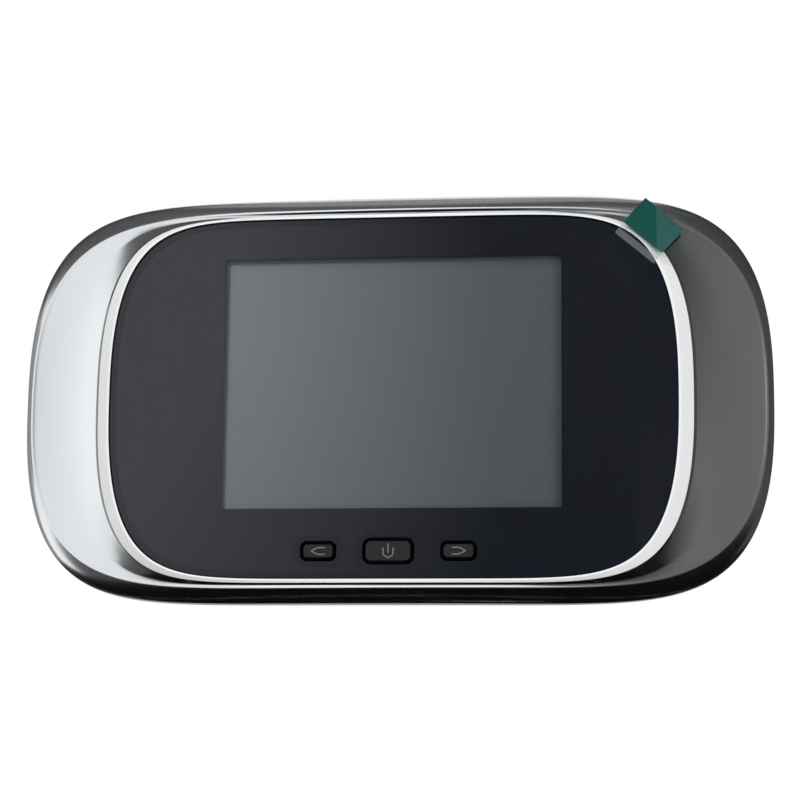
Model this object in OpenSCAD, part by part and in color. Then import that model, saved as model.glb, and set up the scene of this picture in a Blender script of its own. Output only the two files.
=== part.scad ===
// Indoor monitor of a digital door viewer, hung on its stamped door bracket.
// X runs right as seen from the room, the screen faces -Y and Z is up.
// The origin is the axis of the viewer's barrel, in the plane of the door.
// A standoff is a distance from the door's face towards the room.

/* [Body] */
// Window's edge to the body's widest line at the ends
wing_w = 16.05; // [14:0.05:20]
// Window's edge to the body's widest line at top and bottom
wing_h = 4.3; // [3.8:0.1:6]
// Sharpness of the body's outline along its width
body_px = 6.7; // [5:0.1:8]
// Sharpness of the body's outline along its height
body_pz = 2.65; // [2.4:0.05:3.2]
// Wall of the bezel and the rear cover
wall = 1.8; // [1.4:0.1:2]
// Thin walls and ribs inside
rib_t = 1.2; // [0.8:0.1:1.4]
// Crest of the rim to the seam between bezel and rear cover
bezel_depth = 11.4; // [10:0.1:12]
// How far the sides draw in from the widest line to the seam, at top and bottom
draw_in_z = 1.9; // [1:0.1:2.2]
// The same at the two ends
draw_in_x = 1.25; // [0.6:0.05:1.6]
// How far the rear cover draws in from the seam to its back
back_draw = 3; // [2:0.1:4]
// Rounding of the rear cover's back edge
back_round = 1.8; // [1:0.1:2.4]

/* [Bezel front] */
// Width of the sloped rim at the ends
rim_x = 2.7; // [1.8:0.1:3]
// Width of the sloped rim at top and bottom
rim_z = 0.8; // [0.6:0.05:1]
// Crest of the rim down to its foot at the ends
rim_drop = 3; // [2:0.1:3.4]
// Crest of the rim down to its foot at top and bottom
rim_drop_z = 0.35; // [0.2:0.05:0.6]
// Widest line of the body in to the ridge, at the ends
ridge_in_x = 0.95; // [0.6:0.05:1.4]
// Widest line of the body in to the ridge, at top and bottom
ridge_in_z = 2.7; // [2.2:0.1:3]
// Sharpness of the ridge's outline along its width
ridge_px = 6.2; // [5:0.1:8]
// Sharpness of the ridge's outline along its height
ridge_pz = 2.5; // [2.4:0.05:3.2]
// Crest of the rim down to the ridge at the ends
ridge_drop = 4.8; // [4:0.1:5.2]
// Crest of the rim down to the ridge at top and bottom
ridge_drop_z = 0.1; // [0:0.05:0.4]
// Hollow of the wing below a straight line from rim to ridge
scoop = 0.8; // [0.1:0.05:1.1]
// Hollow of the groove at top and bottom
scoop_z = 0.55; // [0.1:0.05:0.7]
// Lean of both hollows towards the ridge, where 1 is an even hollow
scoop_lean = 1.2; // [1:0.1:2]
// Crest down to the widest line, at the ends
belly_drop = 5.7; // [5.2:0.1:6.4]
// Crest down to the widest line, at top and bottom
belly_drop_z = 3.3; // [2.6:0.1:4]
// Crest of the rim above the window
crest_h = 0.4; // [0.2:0.05:0.6]

/* [Window] */
// Screen module's side to the window's edge
window_side = 13.6; // [12:0.1:16]
// Screen module's top to the window's edge
window_top = 3.3; // [3:0.1:5]
// Screen module's foot to the window's edge, where the keys are
window_foot = 8.3; // [8:0.1:10]
// Thickness of the window panel
window_t = 1.5; // [1:0.1:2]
// Sharpness of the window's outline along its width
window_px = 7.4; // [6:0.1:8]
// Sharpness of the window's outline along its height
window_pz = 2.6; // [2.4:0.05:3]
// Adhesive tape under the window
tape_t = 0.1; // [0.05:0.05:0.2]
// Protective film on the window
film_t = 0.1; // [0.05:0.05:0.2]
// Margin of the film inside the window's edge
film_margin = 0.9; // [0.5:0.1:2]
// Width of the pull tab
tab_w = 8.5; // [6:0.1:10]
// Length of the tab's clear end on the window
tab_stuck = 7.4; // [5:0.1:9]
// Length of the tab's coloured end
tab_free = 6.5; // [4:0.1:8]
// Thickness of the tab
tab_t = 0.15; // [0.1:0.05:0.3]
// How far the free end of the tab hangs down
tab_droop = 1; // [0.4:0.1:1.4]
// Place of the tab along the window's outline, in degrees of its parameter
tab_at = 52.8; // [50:0.2:56]
// Direction of the tab above the horizontal
tab_turn = 49.5; // [44:0.5:54]

/* [Screen] */
// Width of the screen module
lcd_w = 69.2; // [60:0.2:80]
// Height of the screen module
lcd_h = 50; // [44:0.2:60]
// Border of the screen module left and right of its picture
border_x = 5.8; // [4:0.1:7]
// Border of the screen module above and below its picture
border_z = 3.4; // [2.6:0.1:4.4]
// Thickness of the backlight tray's floor
tray_t = 1.4; // [1:0.1:2]
// Thickness of the screen's glass
glass_t = 1.1; // [0.8:0.1:1.4]
// Thickness of the foam gasket
gasket_t = 0.6; // [0.4:0.1:1]
// Width of the screen's flat flex tail
flex_w = 18; // [12:0.5:24]
// Thickness of the flex tail
flex_t = 0.2; // [0.1:0.05:0.3]
// Centre of the flex tail across the body
flex_x = -8; // [-12:0.5:-4]

/* [Keys] */
// Distance between neighbouring keys
key_pitch = 11.8; // [11:0.1:14]
// Window's lower edge to the middle of the keys' row
key_rise = 4.5; // [4:0.1:5.5]
// Width of a side key's opening
side_key_w = 6.2; // [5:0.1:7]
// Height of a side key's opening
side_key_h = 3.5; // [3:0.1:4]
// Corner radius of a side key's opening
side_key_r = 1.2; // [1:0.1:1.4]
// Width of the power key's opening
power_key_w = 8.8; // [7:0.1:9.6]
// Height of the power key's opening
power_key_h = 4.6; // [4:0.1:4.8]
// Corner radius of the power key's opening
power_key_r = 1.5; // [1:0.1:1.8]
// Gap between a key and its opening
key_gap = 0.25; // [0.2:0.05:0.3]
// Bevel round a key's top
key_bevel = 0.45; // [0.2:0.05:0.5]
// Height of the key above the window
key_proud = 0.15; // [0.05:0.05:0.4]
// Travel of a key
key_travel = 0.5; // [0.3:0.05:0.6]

/* [Board] */
// Thickness of the main board
board_t = 1.2; // [0.8:0.1:1.6]
// Screw's shank diameter
screw_d = 2; // [1.6:0.1:2.2]
// Screw's head diameter
screw_head_d = 3.8; // [3.2:0.1:4]
// Screw's head height
screw_head_h = 1.2; // [0.8:0.1:1.4]
// Case screws in from the body's widest line at the ends
case_screw_in = 10.75; // [10:0.05:12]
// Case screws above and below the centre
case_screw_z = 14; // [12:0.5:16]
// Board screws beside the screen module
board_screw_out = 3.4; // [3:0.1:4.4]
// Board screws in from the window's upper and lower edge
board_screw_in = 10.3; // [10:0.1:14]

/* [Batteries] */
// Diameter of a cell
cell_d = 10.5; // [10.2:0.1:10.6]
// Length of a cell with its nub
cell_l = 44.5; // [43.5:0.1:44.6]
// Number of cells
cell_count = 3; // [1:1:3]
// Gap between neighbouring cells
cell_gap = 0.5; // [0.3:0.1:0.6]
// Battery bay's wall to the screw posts beside it
bay_clear = 6.3; // [5:0.1:8]
// Length of a compressed spring
spring_l = 4.7; // [4.4:0.1:5]
// Wire of a spring
spring_wire = 0.5; // [0.4:0.05:0.6]
// Curls of a spring
spring_turns = 3; // [2:1:3]
// Radius of a spring at its base
spring_r0 = 3.4; // [3:0.1:3.8]
// Radius of a spring at the cell
spring_r1 = 2.6; // [2:0.1:2.8]
// Sheet of the contact plates
contact_t = 0.4; // [0.3:0.1:0.5]
// Dimple of a contact plate at the cell's nub
dimple_h = 0.6; // [0.4:0.1:0.8]
// Thickness of the battery door
lid_t = 1.4; // [1.2:0.1:1.6]
// Lap of the battery door over the bay's wall
lid_lap = 0.7; // [0.5:0.1:0.9]

/* [Door bracket] */
// Hole for the viewer's barrel
barrel_d = 16.2; // [12:0.1:17]
// Width of the bracket
plate_w = 43; // [42:0.5:43.5]
// Height of the bracket
plate_h = 38; // [37:0.5:39]
// Sheet of the bracket
plate_t = 1.2; // [1:0.1:1.4]
// Corner radius of the bracket
plate_r = 5; // [3:0.5:7]
// Bracket's hollow to the screw posts beside it
plate_clear = 3.3; // [2:0.1:5]
// Distance between the two wood screws
anchor_pitch = 29; // [27:0.5:30]
// Hole for a wood screw
anchor_d = 4.2; // [3.5:0.1:4.5]
// Width of a hook
hook_w = 6; // [4:0.5:6.5]
// Hooks' middle in from the bracket's sides
hook_in = 4.5; // [4:0.1:6]
// Upper hooks above the barrel's axis
hook_up = 7.5; // [6:0.5:8]
// Lower hooks below the barrel's axis
hook_down = 13.5; // [12:0.5:14]
// Height of a hook's leg above its neck
hook_leg = 4.3; // [3:0.1:4.6]
// Lift that frees the monitor from the hooks
lift = 5; // [4.8:0.1:5.4]
// Width of the hollow for barrel and ribbon
well_w = 25; // [22:0.5:25.5]
// Depth of that hollow from the back face
well_depth = 10; // [8:0.1:10.2]

/* [Fits] */
// Back face of the rear cover to the door
door_gap = 0.4; // [0.3:0.1:0.8]
// Clearance round parts that drop in
gap = 0.3; // [0.2:0.05:0.35]
// Clearance of parts that seat against each other
slip = 0.1; // [0.05:0.05:0.2]

/* [Hidden] */

$fn = 48;
ring_n = 96;

// Standoffs through the stack, from the door to the room
s_back = door_gap;
s_lid = s_back + lid_t;
s_cell = s_lid + gap + cell_d / 2;
s_floor0 = s_cell + cell_d / 2 + gap;
s_floor1 = s_floor0 + rib_t;
s_board0 = s_floor1 + gap;
s_board1 = s_board0 + board_t;
s_lcd0 = s_board1 + gap;
s_tray = s_lcd0 + tray_t;
s_glass = s_tray + glass_t;
s_win0 = s_glass + gasket_t;
s_win1 = s_win0 + window_t;
s_film = s_win1 + film_t;
s_crest = s_win1 + crest_h;
s_seam = s_crest - bezel_depth;

// Battery bay
cell_pitch = cell_d + cell_gap;
bay_w = cell_count * cell_pitch;
bay_h = cell_l + spring_l + 2 * contact_t + dimple_h;

// Picture, window and body round the screen module. The body is as high as its window, its
// battery bay or its bracket needs: the two margins keep their corners on the flat of the back.
bay_margin = 9.8;
plate_margin = 11.1;
view_w = lcd_w - 2 * border_x;
view_h = lcd_h - 2 * border_z;
window_w = lcd_w + 2 * window_side;
window_h = lcd_h + window_top + window_foot;
lcd_dz = (window_foot - window_top) / 2;
body_w = window_w + 2 * wing_w;
body_h = max(window_h + 2 * wing_h, bay_h + 2 * bay_margin, plate_h + 2 * (lift + plate_margin));

// Half sizes of the main outlines
body_x = body_w / 2;
body_z = body_h / 2;
win_x = window_w / 2;
win_z = window_h / 2;
seam_x = body_x - draw_in_x;
seam_z = body_z - draw_in_z;
back_x = seam_x - back_draw;
back_z = seam_z - back_draw;

// Frame that carries the window, the screen and the board
frame_t = 1.4;
frame_wall = 1.2;
flange_t = 2.5;
s_frame1 = s_win0 - tape_t;
s_frame0 = s_frame1 - frame_t;
s_flange1 = s_lcd0;
s_flange0 = s_flange1 - flange_t;
seat_w = 1.9;
seat_h = 0.4;
boss_d = screw_d + 4;
boss_drop = 2.6;
ear_t = 1.3;
s_boss0 = s_flange0 - boss_drop;
s_boss1 = s_flange0 + ear_t;

// Rear cover
s_inner = s_back + wall;
s_recess = plate_t + gap;
s_pad = s_recess + wall - slip;
well_z = anchor_pitch / 2 + anchor_d;
s_well = s_back + well_depth;
head_play = 0.4;
head_depth = 4.2;
counterbore_d = screw_head_d + 2 * head_play;
s_head = s_back + head_depth;
lip_h = 1.6;
slot_h = lift + plate_t + 2 * gap + slip;
ribbon_w = 17;
ribbon_h = 5;
ribbon_drop = 9;

// Screws, and what stands beside their posts
case_screw_x = body_x - case_screw_in;
board_screw_x = lcd_w / 2 + board_screw_out;
board_screw_z = win_z - board_screw_in;
post_in = case_screw_x - counterbore_d / 2 - rib_t;
bay_x = post_in - bay_clear - rib_t - bay_w / 2;
barrel_left = post_in - plate_clear - rib_t - plate_w / 2;
hook_x = plate_w / 2 - hook_in;

// Battery door
lid_w = bay_w + 2 * lid_lap;
lid_h = bay_h + 2 * lid_lap;
lid_r = 3;
tongue_w = 8;
tongue_l = 2.2;
tongue_t = 1;
tongue_z = 13;
root_w = 1.2;
s_tongue = s_inner + slip;
hinge_x = bay_x + lid_w / 2;

// Bracket
s_leg = s_pad + gap;
hook_bend = 0.6;
plate_left = -barrel_left;

// Keys
key_flange = 0.4;
key_flange_t = 0.8;
s_key0 = s_win0 - gap - key_flange_t;
s_key1 = s_win1 + key_proud;
key_drop = win_z - key_rise;
key_z = -key_drop;
switch_w = 3.6;
switch_h = 1.4;
stem_d = 1.6;
stem_l = 1.1;
s_stem = s_key0 - slip / 2;

// Signed power, for outlines between an ellipse and a rectangle
function sgn_pow(v, e) = sign(v) * pow(abs(v), e);
function outline_at(w, h, p, q, t) = [w * sgn_pow(cos(t), 2 / p), h * sgn_pow(sin(t), 2 / q)];
function outline(w, h, p, q) = [for (i = [0:ring_n - 1]) outline_at(w, h, p, q, 360 * i / ring_n)];
function mix(a, b, u) = a + (b - a) * u;

// A ring in space bows back from its standoff at top and bottom to that at its ends.
// Its values are half width, half height, the two powers and the two standoffs.
function ring(r) = [for (p = outline(r[0], r[1], r[2], r[3]))
    [p[0], -mix(r[4], r[5], pow(p[0] / r[0], 2)), p[1]]];

// Skin through a list of rings of points, joined into a loop or closed at both ends
module skin(rings, loop = false) {
    m = len(rings);
    n = len(rings[0]);
    side = [for (j = [0:(loop ? m : m - 1) - 1], i = [0:n - 1])
        let (a = j * n, b = ((j + 1) % m) * n, k = (i + 1) % n)
        each [[a + i, a + k, b + k], [a + i, b + k, b + i]]];
    ends = loop ? [] : [[for (i = [n - 1:-1:0]) i], [for (i = [0:n - 1]) (m - 1) * n + i]];
    polyhedron([for (r = rings) each r], concat(side, ends));
}

// A flat shape given a thickness between two standoffs
module slab(s0, s1) {
    translate([0, -s0, 0])
        rotate([90, 0, 0])
            linear_extrude(s1 - s0)
                children();
}

// The same for a round bar at a place
module bar(x, z, d, s0, s1) {
    slab(s0, s1)
        translate([x, z])
            circle(d = d);
}

module rounded(w, h, r) {
    square([w, h - 2 * r], center = true);
    square([w - 2 * r, h], center = true);
    for (x = [-1, 1], z = [-1, 1])
        translate([x * (w / 2 - r), z * (h / 2 - r)])
            circle(r);
}

module window_shape(inset = 0) {
    polygon(outline(win_x - inset, win_z - inset, window_px, window_pz));
}

// Everything but the bracket is placed from the centre of the window
module in_monitor() {
    translate([barrel_left, 0, 0])
        children();
}

module case_screw_places() {
    for (x = [-1, 1], z = [-1, 1])
        translate([x * case_screw_x, 0, z * case_screw_z])
            children();
}

// Door bracket: stamped plate with four hooks lanced and bent towards the room
module hook() {
    bend = [for (i = [0:4]) 90 * i / 4];
    inner = [for (a = bend) [s_leg - hook_bend + hook_bend * sin(a), hook_bend - hook_bend * cos(a)]];
    outer = [for (a = bend) [s_leg - hook_bend + (hook_bend + plate_t) * sin(a),
        hook_bend - (hook_bend + plate_t) * cos(a)]];
    tip = [[s_leg + plate_t, hook_leg], [s_leg, hook_leg]];
    back = [for (i = [4:-1:0]) inner[i]];
    rotate([90, 0, -90])
        linear_extrude(hook_w, center = true)
            polygon(concat([[0, 0], [0, -plate_t]], outer, tip, back));
}

module hook_places() {
    for (x = [-1, 1], z = [hook_up, -hook_down])
        translate([x * hook_x, 0, z])
            children();
}

module door_bracket() color("silver") {
    difference() {
        slab(0, plate_t)
            rounded(plate_w, plate_h, plate_r);
        bar(0, 0, barrel_d, -gap, plate_t + gap);
        for (z = [-1, 1])
            bar(0, z * anchor_pitch / 2, anchor_d, -gap, plate_t + gap);
        hook_places()
            slab(-gap, plate_t + gap)
                translate([-(hook_w / 2 + gap), 0])
                    square([hook_w + 2 * gap, hook_leg + s_leg - plate_t]);
    }
    hook_places()
        hook();
}

// Rear cover: black shell with battery bay, cable well, screw posts and hook slots
module well_shape(grow) {
    r = well_w / 2 + grow;
    low = well_z + lift - well_w / 2;
    high = well_z - well_w / 2;
    translate([0, high])
        circle(r);
    translate([0, -low])
        circle(r);
    translate([-r, -low])
        square([2 * r, low + high]);
}

module bay_shape(grow) {
    square([bay_w + 2 * grow, bay_h + 2 * grow], center = true);
}

module recess_shape(grow) {
    translate([0, -lift / 2])
        rounded(plate_w + 2 * grow, plate_h + lift + 2 * grow, plate_r + grow);
}

module cover_shell() {
    s_edge = s_seam - slip;
    rise = s_edge - s_back - back_round;
    lip = wall + 2 * slip;
    function at(u, inset, s) =
        [mix(seam_x, back_x, u) - inset, mix(seam_z, back_z, u) - inset, body_px, body_pz, s, s];
    inside = [at(1, slip + wall, s_inner), at(0.25, slip + wall, mix(s_edge, s_inner, 0.5)),
        at(0, lip + rib_t, s_edge - lip_h)];
    // lip that slips inside the bezel's back edge
    edge = [at(0, lip + rib_t, s_seam + lip_h), at(0, lip, s_seam + lip_h), at(0, lip, s_edge)];
    side = [for (u = [0, 0.5, 1]) at(u * u, slip, s_edge - u * rise)];
    round_over = [for (a = [30, 60, 90])
        at(1, slip + back_round * (1 - cos(a)), s_back + back_round * (1 - sin(a)))];
    skin([for (r = concat(inside, edge, side, round_over)) ring(r)]);
}

module rear_cover_solid() {
    cover_shell();
    translate([bay_x, 0, 0])
        slab(s_lid + slip, s_floor1)
            bay_shape(rib_t);
    translate([plate_left, 0, 0]) {
        slab(s_inner - slip, s_pad)
            recess_shape(rib_t);
        slab(s_inner - slip, s_well + rib_t)
            well_shape(rib_t);
    }
    case_screw_places()
        bar(0, 0, counterbore_d + 2 * rib_t, s_inner - slip, s_boss0 - slip);
}

module rear_cover() color("#1b1c1e") in_monitor() {
    difference() {
        rear_cover_solid();
        translate([bay_x, 0, 0]) {
            slab(s_lid, s_floor0)
                bay_shape(0);
            slab(0, s_lid + slip)
                rounded(lid_w + 2 * gap, lid_h + 2 * gap, lid_r + gap);
        }
        // a slot lets each tongue of the battery door reach under the back wall
        for (z = [-1, 1])
            translate([hinge_x - lid_lap - rib_t, 0, z * tongue_z - tongue_w / 2 - gap]) {
                slab(s_lid, s_inner + 2 * tongue_l)
                    square([rib_t + lid_lap + gap, tongue_w + 2 * gap]);
                slab(s_inner, s_inner + 2 * tongue_l)
                    square([rib_t + lid_lap + tongue_l + gap, tongue_w + 2 * gap]);
            }
        translate([plate_left, 0, 0]) {
            slab(0, s_recess)
                recess_shape(gap);
            slab(0, s_well)
                well_shape(0);
            // window in the well's floor for the ribbon
            slab(s_well - gap, s_well + rib_t + gap)
                translate([0, -ribbon_drop])
                    rounded(ribbon_w, ribbon_h, ribbon_h / 4);
            // a slot lets each hook in below its upper edge
            hook_places()
                slab(0, s_pad + gap)
                    translate([-(hook_w / 2 + gap), slip - slot_h])
                        square([hook_w + 2 * gap, slot_h]);
        }
        case_screw_places() {
            bar(0, 0, counterbore_d, 0, s_head + screw_head_h);
            bar(0, 0, screw_d + gap, s_head, s_boss0);
        }
    }
}

// Battery door: lid with two tongues, a thumb hollow and grip ribs
module battery_door() color("#222326") in_monitor() {
    thumb_r = 5;
    thumb_depth = 0.7;
    grip_pitch = 1.6;
    translate([bay_x, 0, 0])
        difference() {
            slab(s_back, s_lid)
                rounded(lid_w, lid_h, lid_r);
            slab(0, s_back + thumb_depth)
                translate([-lid_w / 2, 0])
                    circle(thumb_r);
            for (i = [0:3])
                slab(0, s_back + thumb_depth / 2)
                    translate([thumb_r + i * grip_pitch - lid_w / 2 + grip_pitch, 0])
                        square([grip_pitch / 2, 3 * thumb_r], center = true);
        }
    // each tongue stands on a root that reaches down beside the outer cell
    for (z = [-1, 1])
        translate([hinge_x - lid_lap - gap - root_w, 0, z * tongue_z - tongue_w / 2]) {
            slab(s_lid - slip, s_tongue + tongue_t)
                square([root_w, tongue_w]);
            slab(s_tongue, s_tongue + tongue_t)
                square([root_w + gap + lid_lap + tongue_l, tongue_w]);
        }
}

// AAA cells, side by side and turned about in series
nub_d = 3.8;
nub_h = 1;
cell_round = 0.5;

function cell_x(i) = bay_x + (i - (cell_count + 1) / 2) * cell_pitch;
function cell_turn(i) = i % 2 == 1 ? 1 : -1;

// Places along a cell's own axis, with the nub's end at the top
module at_cell(i) {
    translate([cell_x(i), -s_cell, 0])
        rotate([i % 2 == 1 ? 0 : 180, 0, 0])
            children();
}
cell_top = bay_h / 2 - contact_t - dimple_h;
cell_foot = cell_top - cell_l;

module aaa_cell(i) color("#3b6ea8") in_monitor() at_cell(i)
    translate([0, 0, cell_foot])
        rotate_extrude() {
            r = cell_d / 2;
            body_l = cell_l - nub_h;
            square([r - cell_round, body_l]);
            translate([0, cell_round])
                square([r, body_l - 2 * cell_round]);
            for (z = [cell_round, body_l - cell_round])
                translate([r - cell_round, z])
                    circle(cell_round);
            square([nub_d / 2, cell_l]);
        }

// Contact plates on the bay's end walls, one with a dimple and one flat for each cell
module contact_plates() color("gold") in_monitor()
    for (i = [1:cell_count])
        at_cell(i) {
            side = cell_d - 2 * gap;
            translate([-side / 2, -side / 2, bay_h / 2 - contact_t])
                cube([side, side, contact_t]);
            translate([0, 0, cell_top])
                cylinder(d1 = nub_d, d2 = nub_d + 2 * dimple_h, h = dimple_h + slip);
            translate([-side / 2, -side / 2, -bay_h / 2])
                cube([side, side, contact_t]);
        }

// Battery springs: conical coils, one unbroken wire each with straight ends
coil_steps = 8;
coil_sides = 6;
spring_z0 = -bay_h / 2 + contact_t;
spring_h = cell_foot - spring_z0;

// A point of the wire's centre line at turn u of the coil
function coil_z(u) = spring_wire + (spring_h - 2 * spring_wire) * u / spring_turns;
function coil_r(u) = mix(spring_r0, spring_r1, u / spring_turns);
function coil_point(u) = [coil_r(u) * cos(360 * u), coil_r(u) * sin(360 * u), coil_z(u)];
// A ring of the wire in a plane that leans by lean from the radial upright one
function wire_ring(u, z, lean) = [for (k = [0:coil_sides - 1])
    let (a = 360 * k / coil_sides, w = spring_wire / 2, up = w * sin(a), out = coil_r(u) + w * cos(a))
    [out * cos(360 * u) + up * sin(lean) * sin(360 * u), out * sin(360 * u) - up * sin(lean) * cos(360 * u),
        z + up * cos(lean)]];

coil_rings = concat(
    [wire_ring(0, 0, 90), wire_ring(0, coil_z(0) - spring_wire / 4, 45)],
    [for (i = [1:coil_steps * spring_turns - 1]) wire_ring(i / coil_steps, coil_z(i / coil_steps), 0)],
    [wire_ring(spring_turns, coil_z(spring_turns) + spring_wire / 4, 45),
        wire_ring(spring_turns, spring_h - slip / 4, 90)]);

coil_line = [for (i = [0:coil_steps * spring_turns]) coil_point(i / coil_steps)];
coil_gaps = [for (i = [0:len(coil_line) - 1], j = [i + coil_steps / 2:len(coil_line) - 1])
    norm(coil_line[i] - coil_line[j]) - spring_wire];
echo("least gap between a spring's curls", min(coil_gaps));

module battery_springs() color("lightgray") in_monitor()
    for (i = [1:cell_count])
        at_cell(i)
            translate([0, 0, spring_z0])
                skin(coil_rings);

// Case screws, from the back into the frame's bosses
module screw(s_seat, length) {
    socket_d = screw_head_d / 2;
    difference() {
        bar(0, 0, screw_head_d, s_seat - screw_head_h, s_seat);
        for (a = [0, 90])
            slab(s_seat - screw_head_h - gap, s_seat - screw_head_h / 2)
                rotate(a)
                    square([socket_d, socket_d / 4], center = true);
    }
    bar(0, 0, screw_d, s_seat - slip, s_seat + length);
}

module case_screws() color("dimgray") in_monitor()
    case_screw_places()
        screw(s_head + screw_head_h, s_boss1 - s_head - screw_head_h - rib_t / 2);

// Main board, cut to the frame's inside
board_in = 2;
board_top = lcd_dz + lcd_h / 2 - board_in;
board_low = win_z - frame_wall - 3 * gap;

function board_screw_places() = [[-board_screw_x, board_screw_z], [-board_screw_x, -board_screw_z]];
function board_pad_places() = [for (p = board_screw_places()) [-p[0], p[1]]];

module main_board() color("darkgreen") in_monitor()
    slab(s_board0, s_board1)
        difference() {
            intersection() {
                polygon(outline(win_x - frame_wall - 3 * gap, board_low, window_px, window_pz));
                translate([-body_x, -body_z])
                    square([body_w, body_z + board_top]);
            }
            for (p = board_screw_places())
                translate(p)
                    circle(d = screw_d + gap);
        }

// Chips on the back of the board: size across, up and tall, then place
chip_in = 10.2;
chip_list = [[10, 10, 1, chip_in - win_x, 0], [8, 6, 0.8, -2, 2], [5, 4, 1.2, -2, -8],
    [4, 3, 0.9, 2, -16]];

module board_chips() color("#26272b") in_monitor()
    for (c = chip_list)
        slab(s_board0 - c[2], s_board0)
            translate([c[3], c[4]])
                square([c[0], c[1]], center = true);

// Socket for the camera's ribbon, behind the window in the well's floor
module camera_socket() color("ivory") in_monitor() {
    socket_h = ribbon_h - 2 * gap;
    slot_t = 0.8;
    translate([plate_left, 0, 0])
        difference() {
            slab(s_well + rib_t + gap, s_board0)
                translate([0, -ribbon_drop])
                    square([ribbon_w - 2 * gap, socket_h], center = true);
            slab(s_well, s_board0 - board_t / 2)
                translate([0, -ribbon_drop])
                    square([ribbon_w - 2 * socket_h, slot_t], center = true);
        }
}

// Flex tail: leaves the glass, turns back round the board's top edge and enters its socket
flex_s1 = s_tray + flex_t;
flex_s0 = s_board0 - gap / 2 - flex_t / 2;
flex_r = (flex_s1 - flex_s0) / 2;
glass_inset = 1;
flex_start = lcd_dz + lcd_h / 2 - glass_inset;
flex_bend = flex_start + glass_inset;
flex_reach = 2.5;
flex_end = board_top - flex_reach;
socket_h = 4;

module flex_shape() {
    t = flex_t / 2;
    translate([flex_s1 - t, flex_start])
        square([flex_t, flex_bend - flex_start]);
    translate([flex_s0 - t, flex_end])
        square([flex_t, flex_bend - flex_end]);
    translate([(flex_s0 + flex_s1) / 2, flex_bend])
        difference() {
            circle(flex_r + t);
            circle(flex_r - t);
            translate([-2 * flex_r, -4 * flex_r])
                square(4 * flex_r);
        }
}

module lcd_flex() color("orange") in_monitor()
    translate([flex_x, 0, 0])
        rotate([90, 0, -90])
            linear_extrude(flex_w, center = true)
                flex_shape();

module lcd_socket() color("ivory") in_monitor()
    slab(s_board0 - 6 * gap, s_board0)
        translate([flex_x, flex_end - socket_h / 2])
            square([flex_w + socket_h, socket_h], center = true);

// Screen module: backlight tray, glass, foam gasket
module in_screen() {
    in_monitor()
        translate([0, 0, lcd_dz])
            children();
}

module lcd_tray() color("whitesmoke") in_screen() {
    rim_h = glass_t - slip;
    difference() {
        slab(s_lcd0, s_tray + rim_h)
            square([lcd_w, lcd_h], center = true);
        slab(s_tray, s_glass)
            square([lcd_w - 2 * glass_inset + 2 * slip, lcd_h - 2 * glass_inset + 2 * slip], center = true);
        // notch that lets the flex tail out
        slab(s_tray, s_glass)
            translate([flex_x, lcd_h / 2])
                square([flex_w + 2 * gap, 4 * glass_inset], center = true);
    }
}

module lcd_panel() color("slategray") in_screen()
    slab(s_tray, s_glass)
        square([lcd_w - 2 * glass_inset, lcd_h - 2 * glass_inset], center = true);

module lcd_gasket() color("#303030") in_screen()
    slab(s_glass, s_win0)
        difference() {
            square([lcd_w - 4 * glass_inset, lcd_h - 2 * glass_inset], center = true);
            square([view_w + 2 * glass_inset, view_h + 2 * glass_inset], center = true);
        }

// Keys: width, height and corner radius of the openings, and places from left to right
function key_size(i) = i == 0
    ? [power_key_w, power_key_h, power_key_r]
    : [side_key_w, side_key_h, side_key_r];

module key_shape(i, grow) {
    size = key_size(i);
    rounded(size[0] + 2 * grow, size[1] + 2 * grow, size[2] + grow);
}

module at_key(i) {
    translate([i * key_pitch, 0, key_z])
        children();
}

// Ring round a key's cap, set in from its opening
function key_ring(i, inset, s) =
    let (size = key_size(i), r = size[2] - inset, x = size[0] / 2 - size[2], z = size[1] / 2 - size[2])
    [for (c = [[1, 1, 0], [-1, 1, 90], [-1, -1, 180], [1, -1, 270]], a = [0:15:90])
        [c[0] * x + r * cos(c[2] + a), -s, c[1] * z + r * sin(c[2] + a)]];

// A key is a bevelled cap on a flange that the window keeps in
module key(i) color("#252527") in_monitor() at_key(i) {
    slab(s_key0, s_key0 + key_flange_t)
        key_shape(i, key_flange);
    skin([key_ring(i, key_gap + key_bevel, s_key1), key_ring(i, key_gap, s_key1 - key_bevel),
        key_ring(i, key_gap, s_key0 + key_flange_t / 2)]);
}
module back_key() key(-1);
module power_key() key(0);
module next_key() key(1);

// Tact switches on the board, and the stems that the keys push
module tact_switches() color("#4a4a4c") in_monitor()
    for (i = [-1, 0, 1])
        at_key(i)
            difference() {
                slab(s_board1, s_board1 + switch_h)
                    square(switch_w, center = true);
                bar(0, 0, stem_d + gap, s_stem - stem_l - key_travel - slip, s_board1 + 2 * switch_h);
            }

module switch_stem(i) color("black") in_monitor() at_key(i)
    bar(0, 0, stem_d, s_stem - stem_l, s_stem);
module back_switch_stem() switch_stem(-1);
module power_switch_stem() switch_stem(0);
module next_switch_stem() switch_stem(1);

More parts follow.
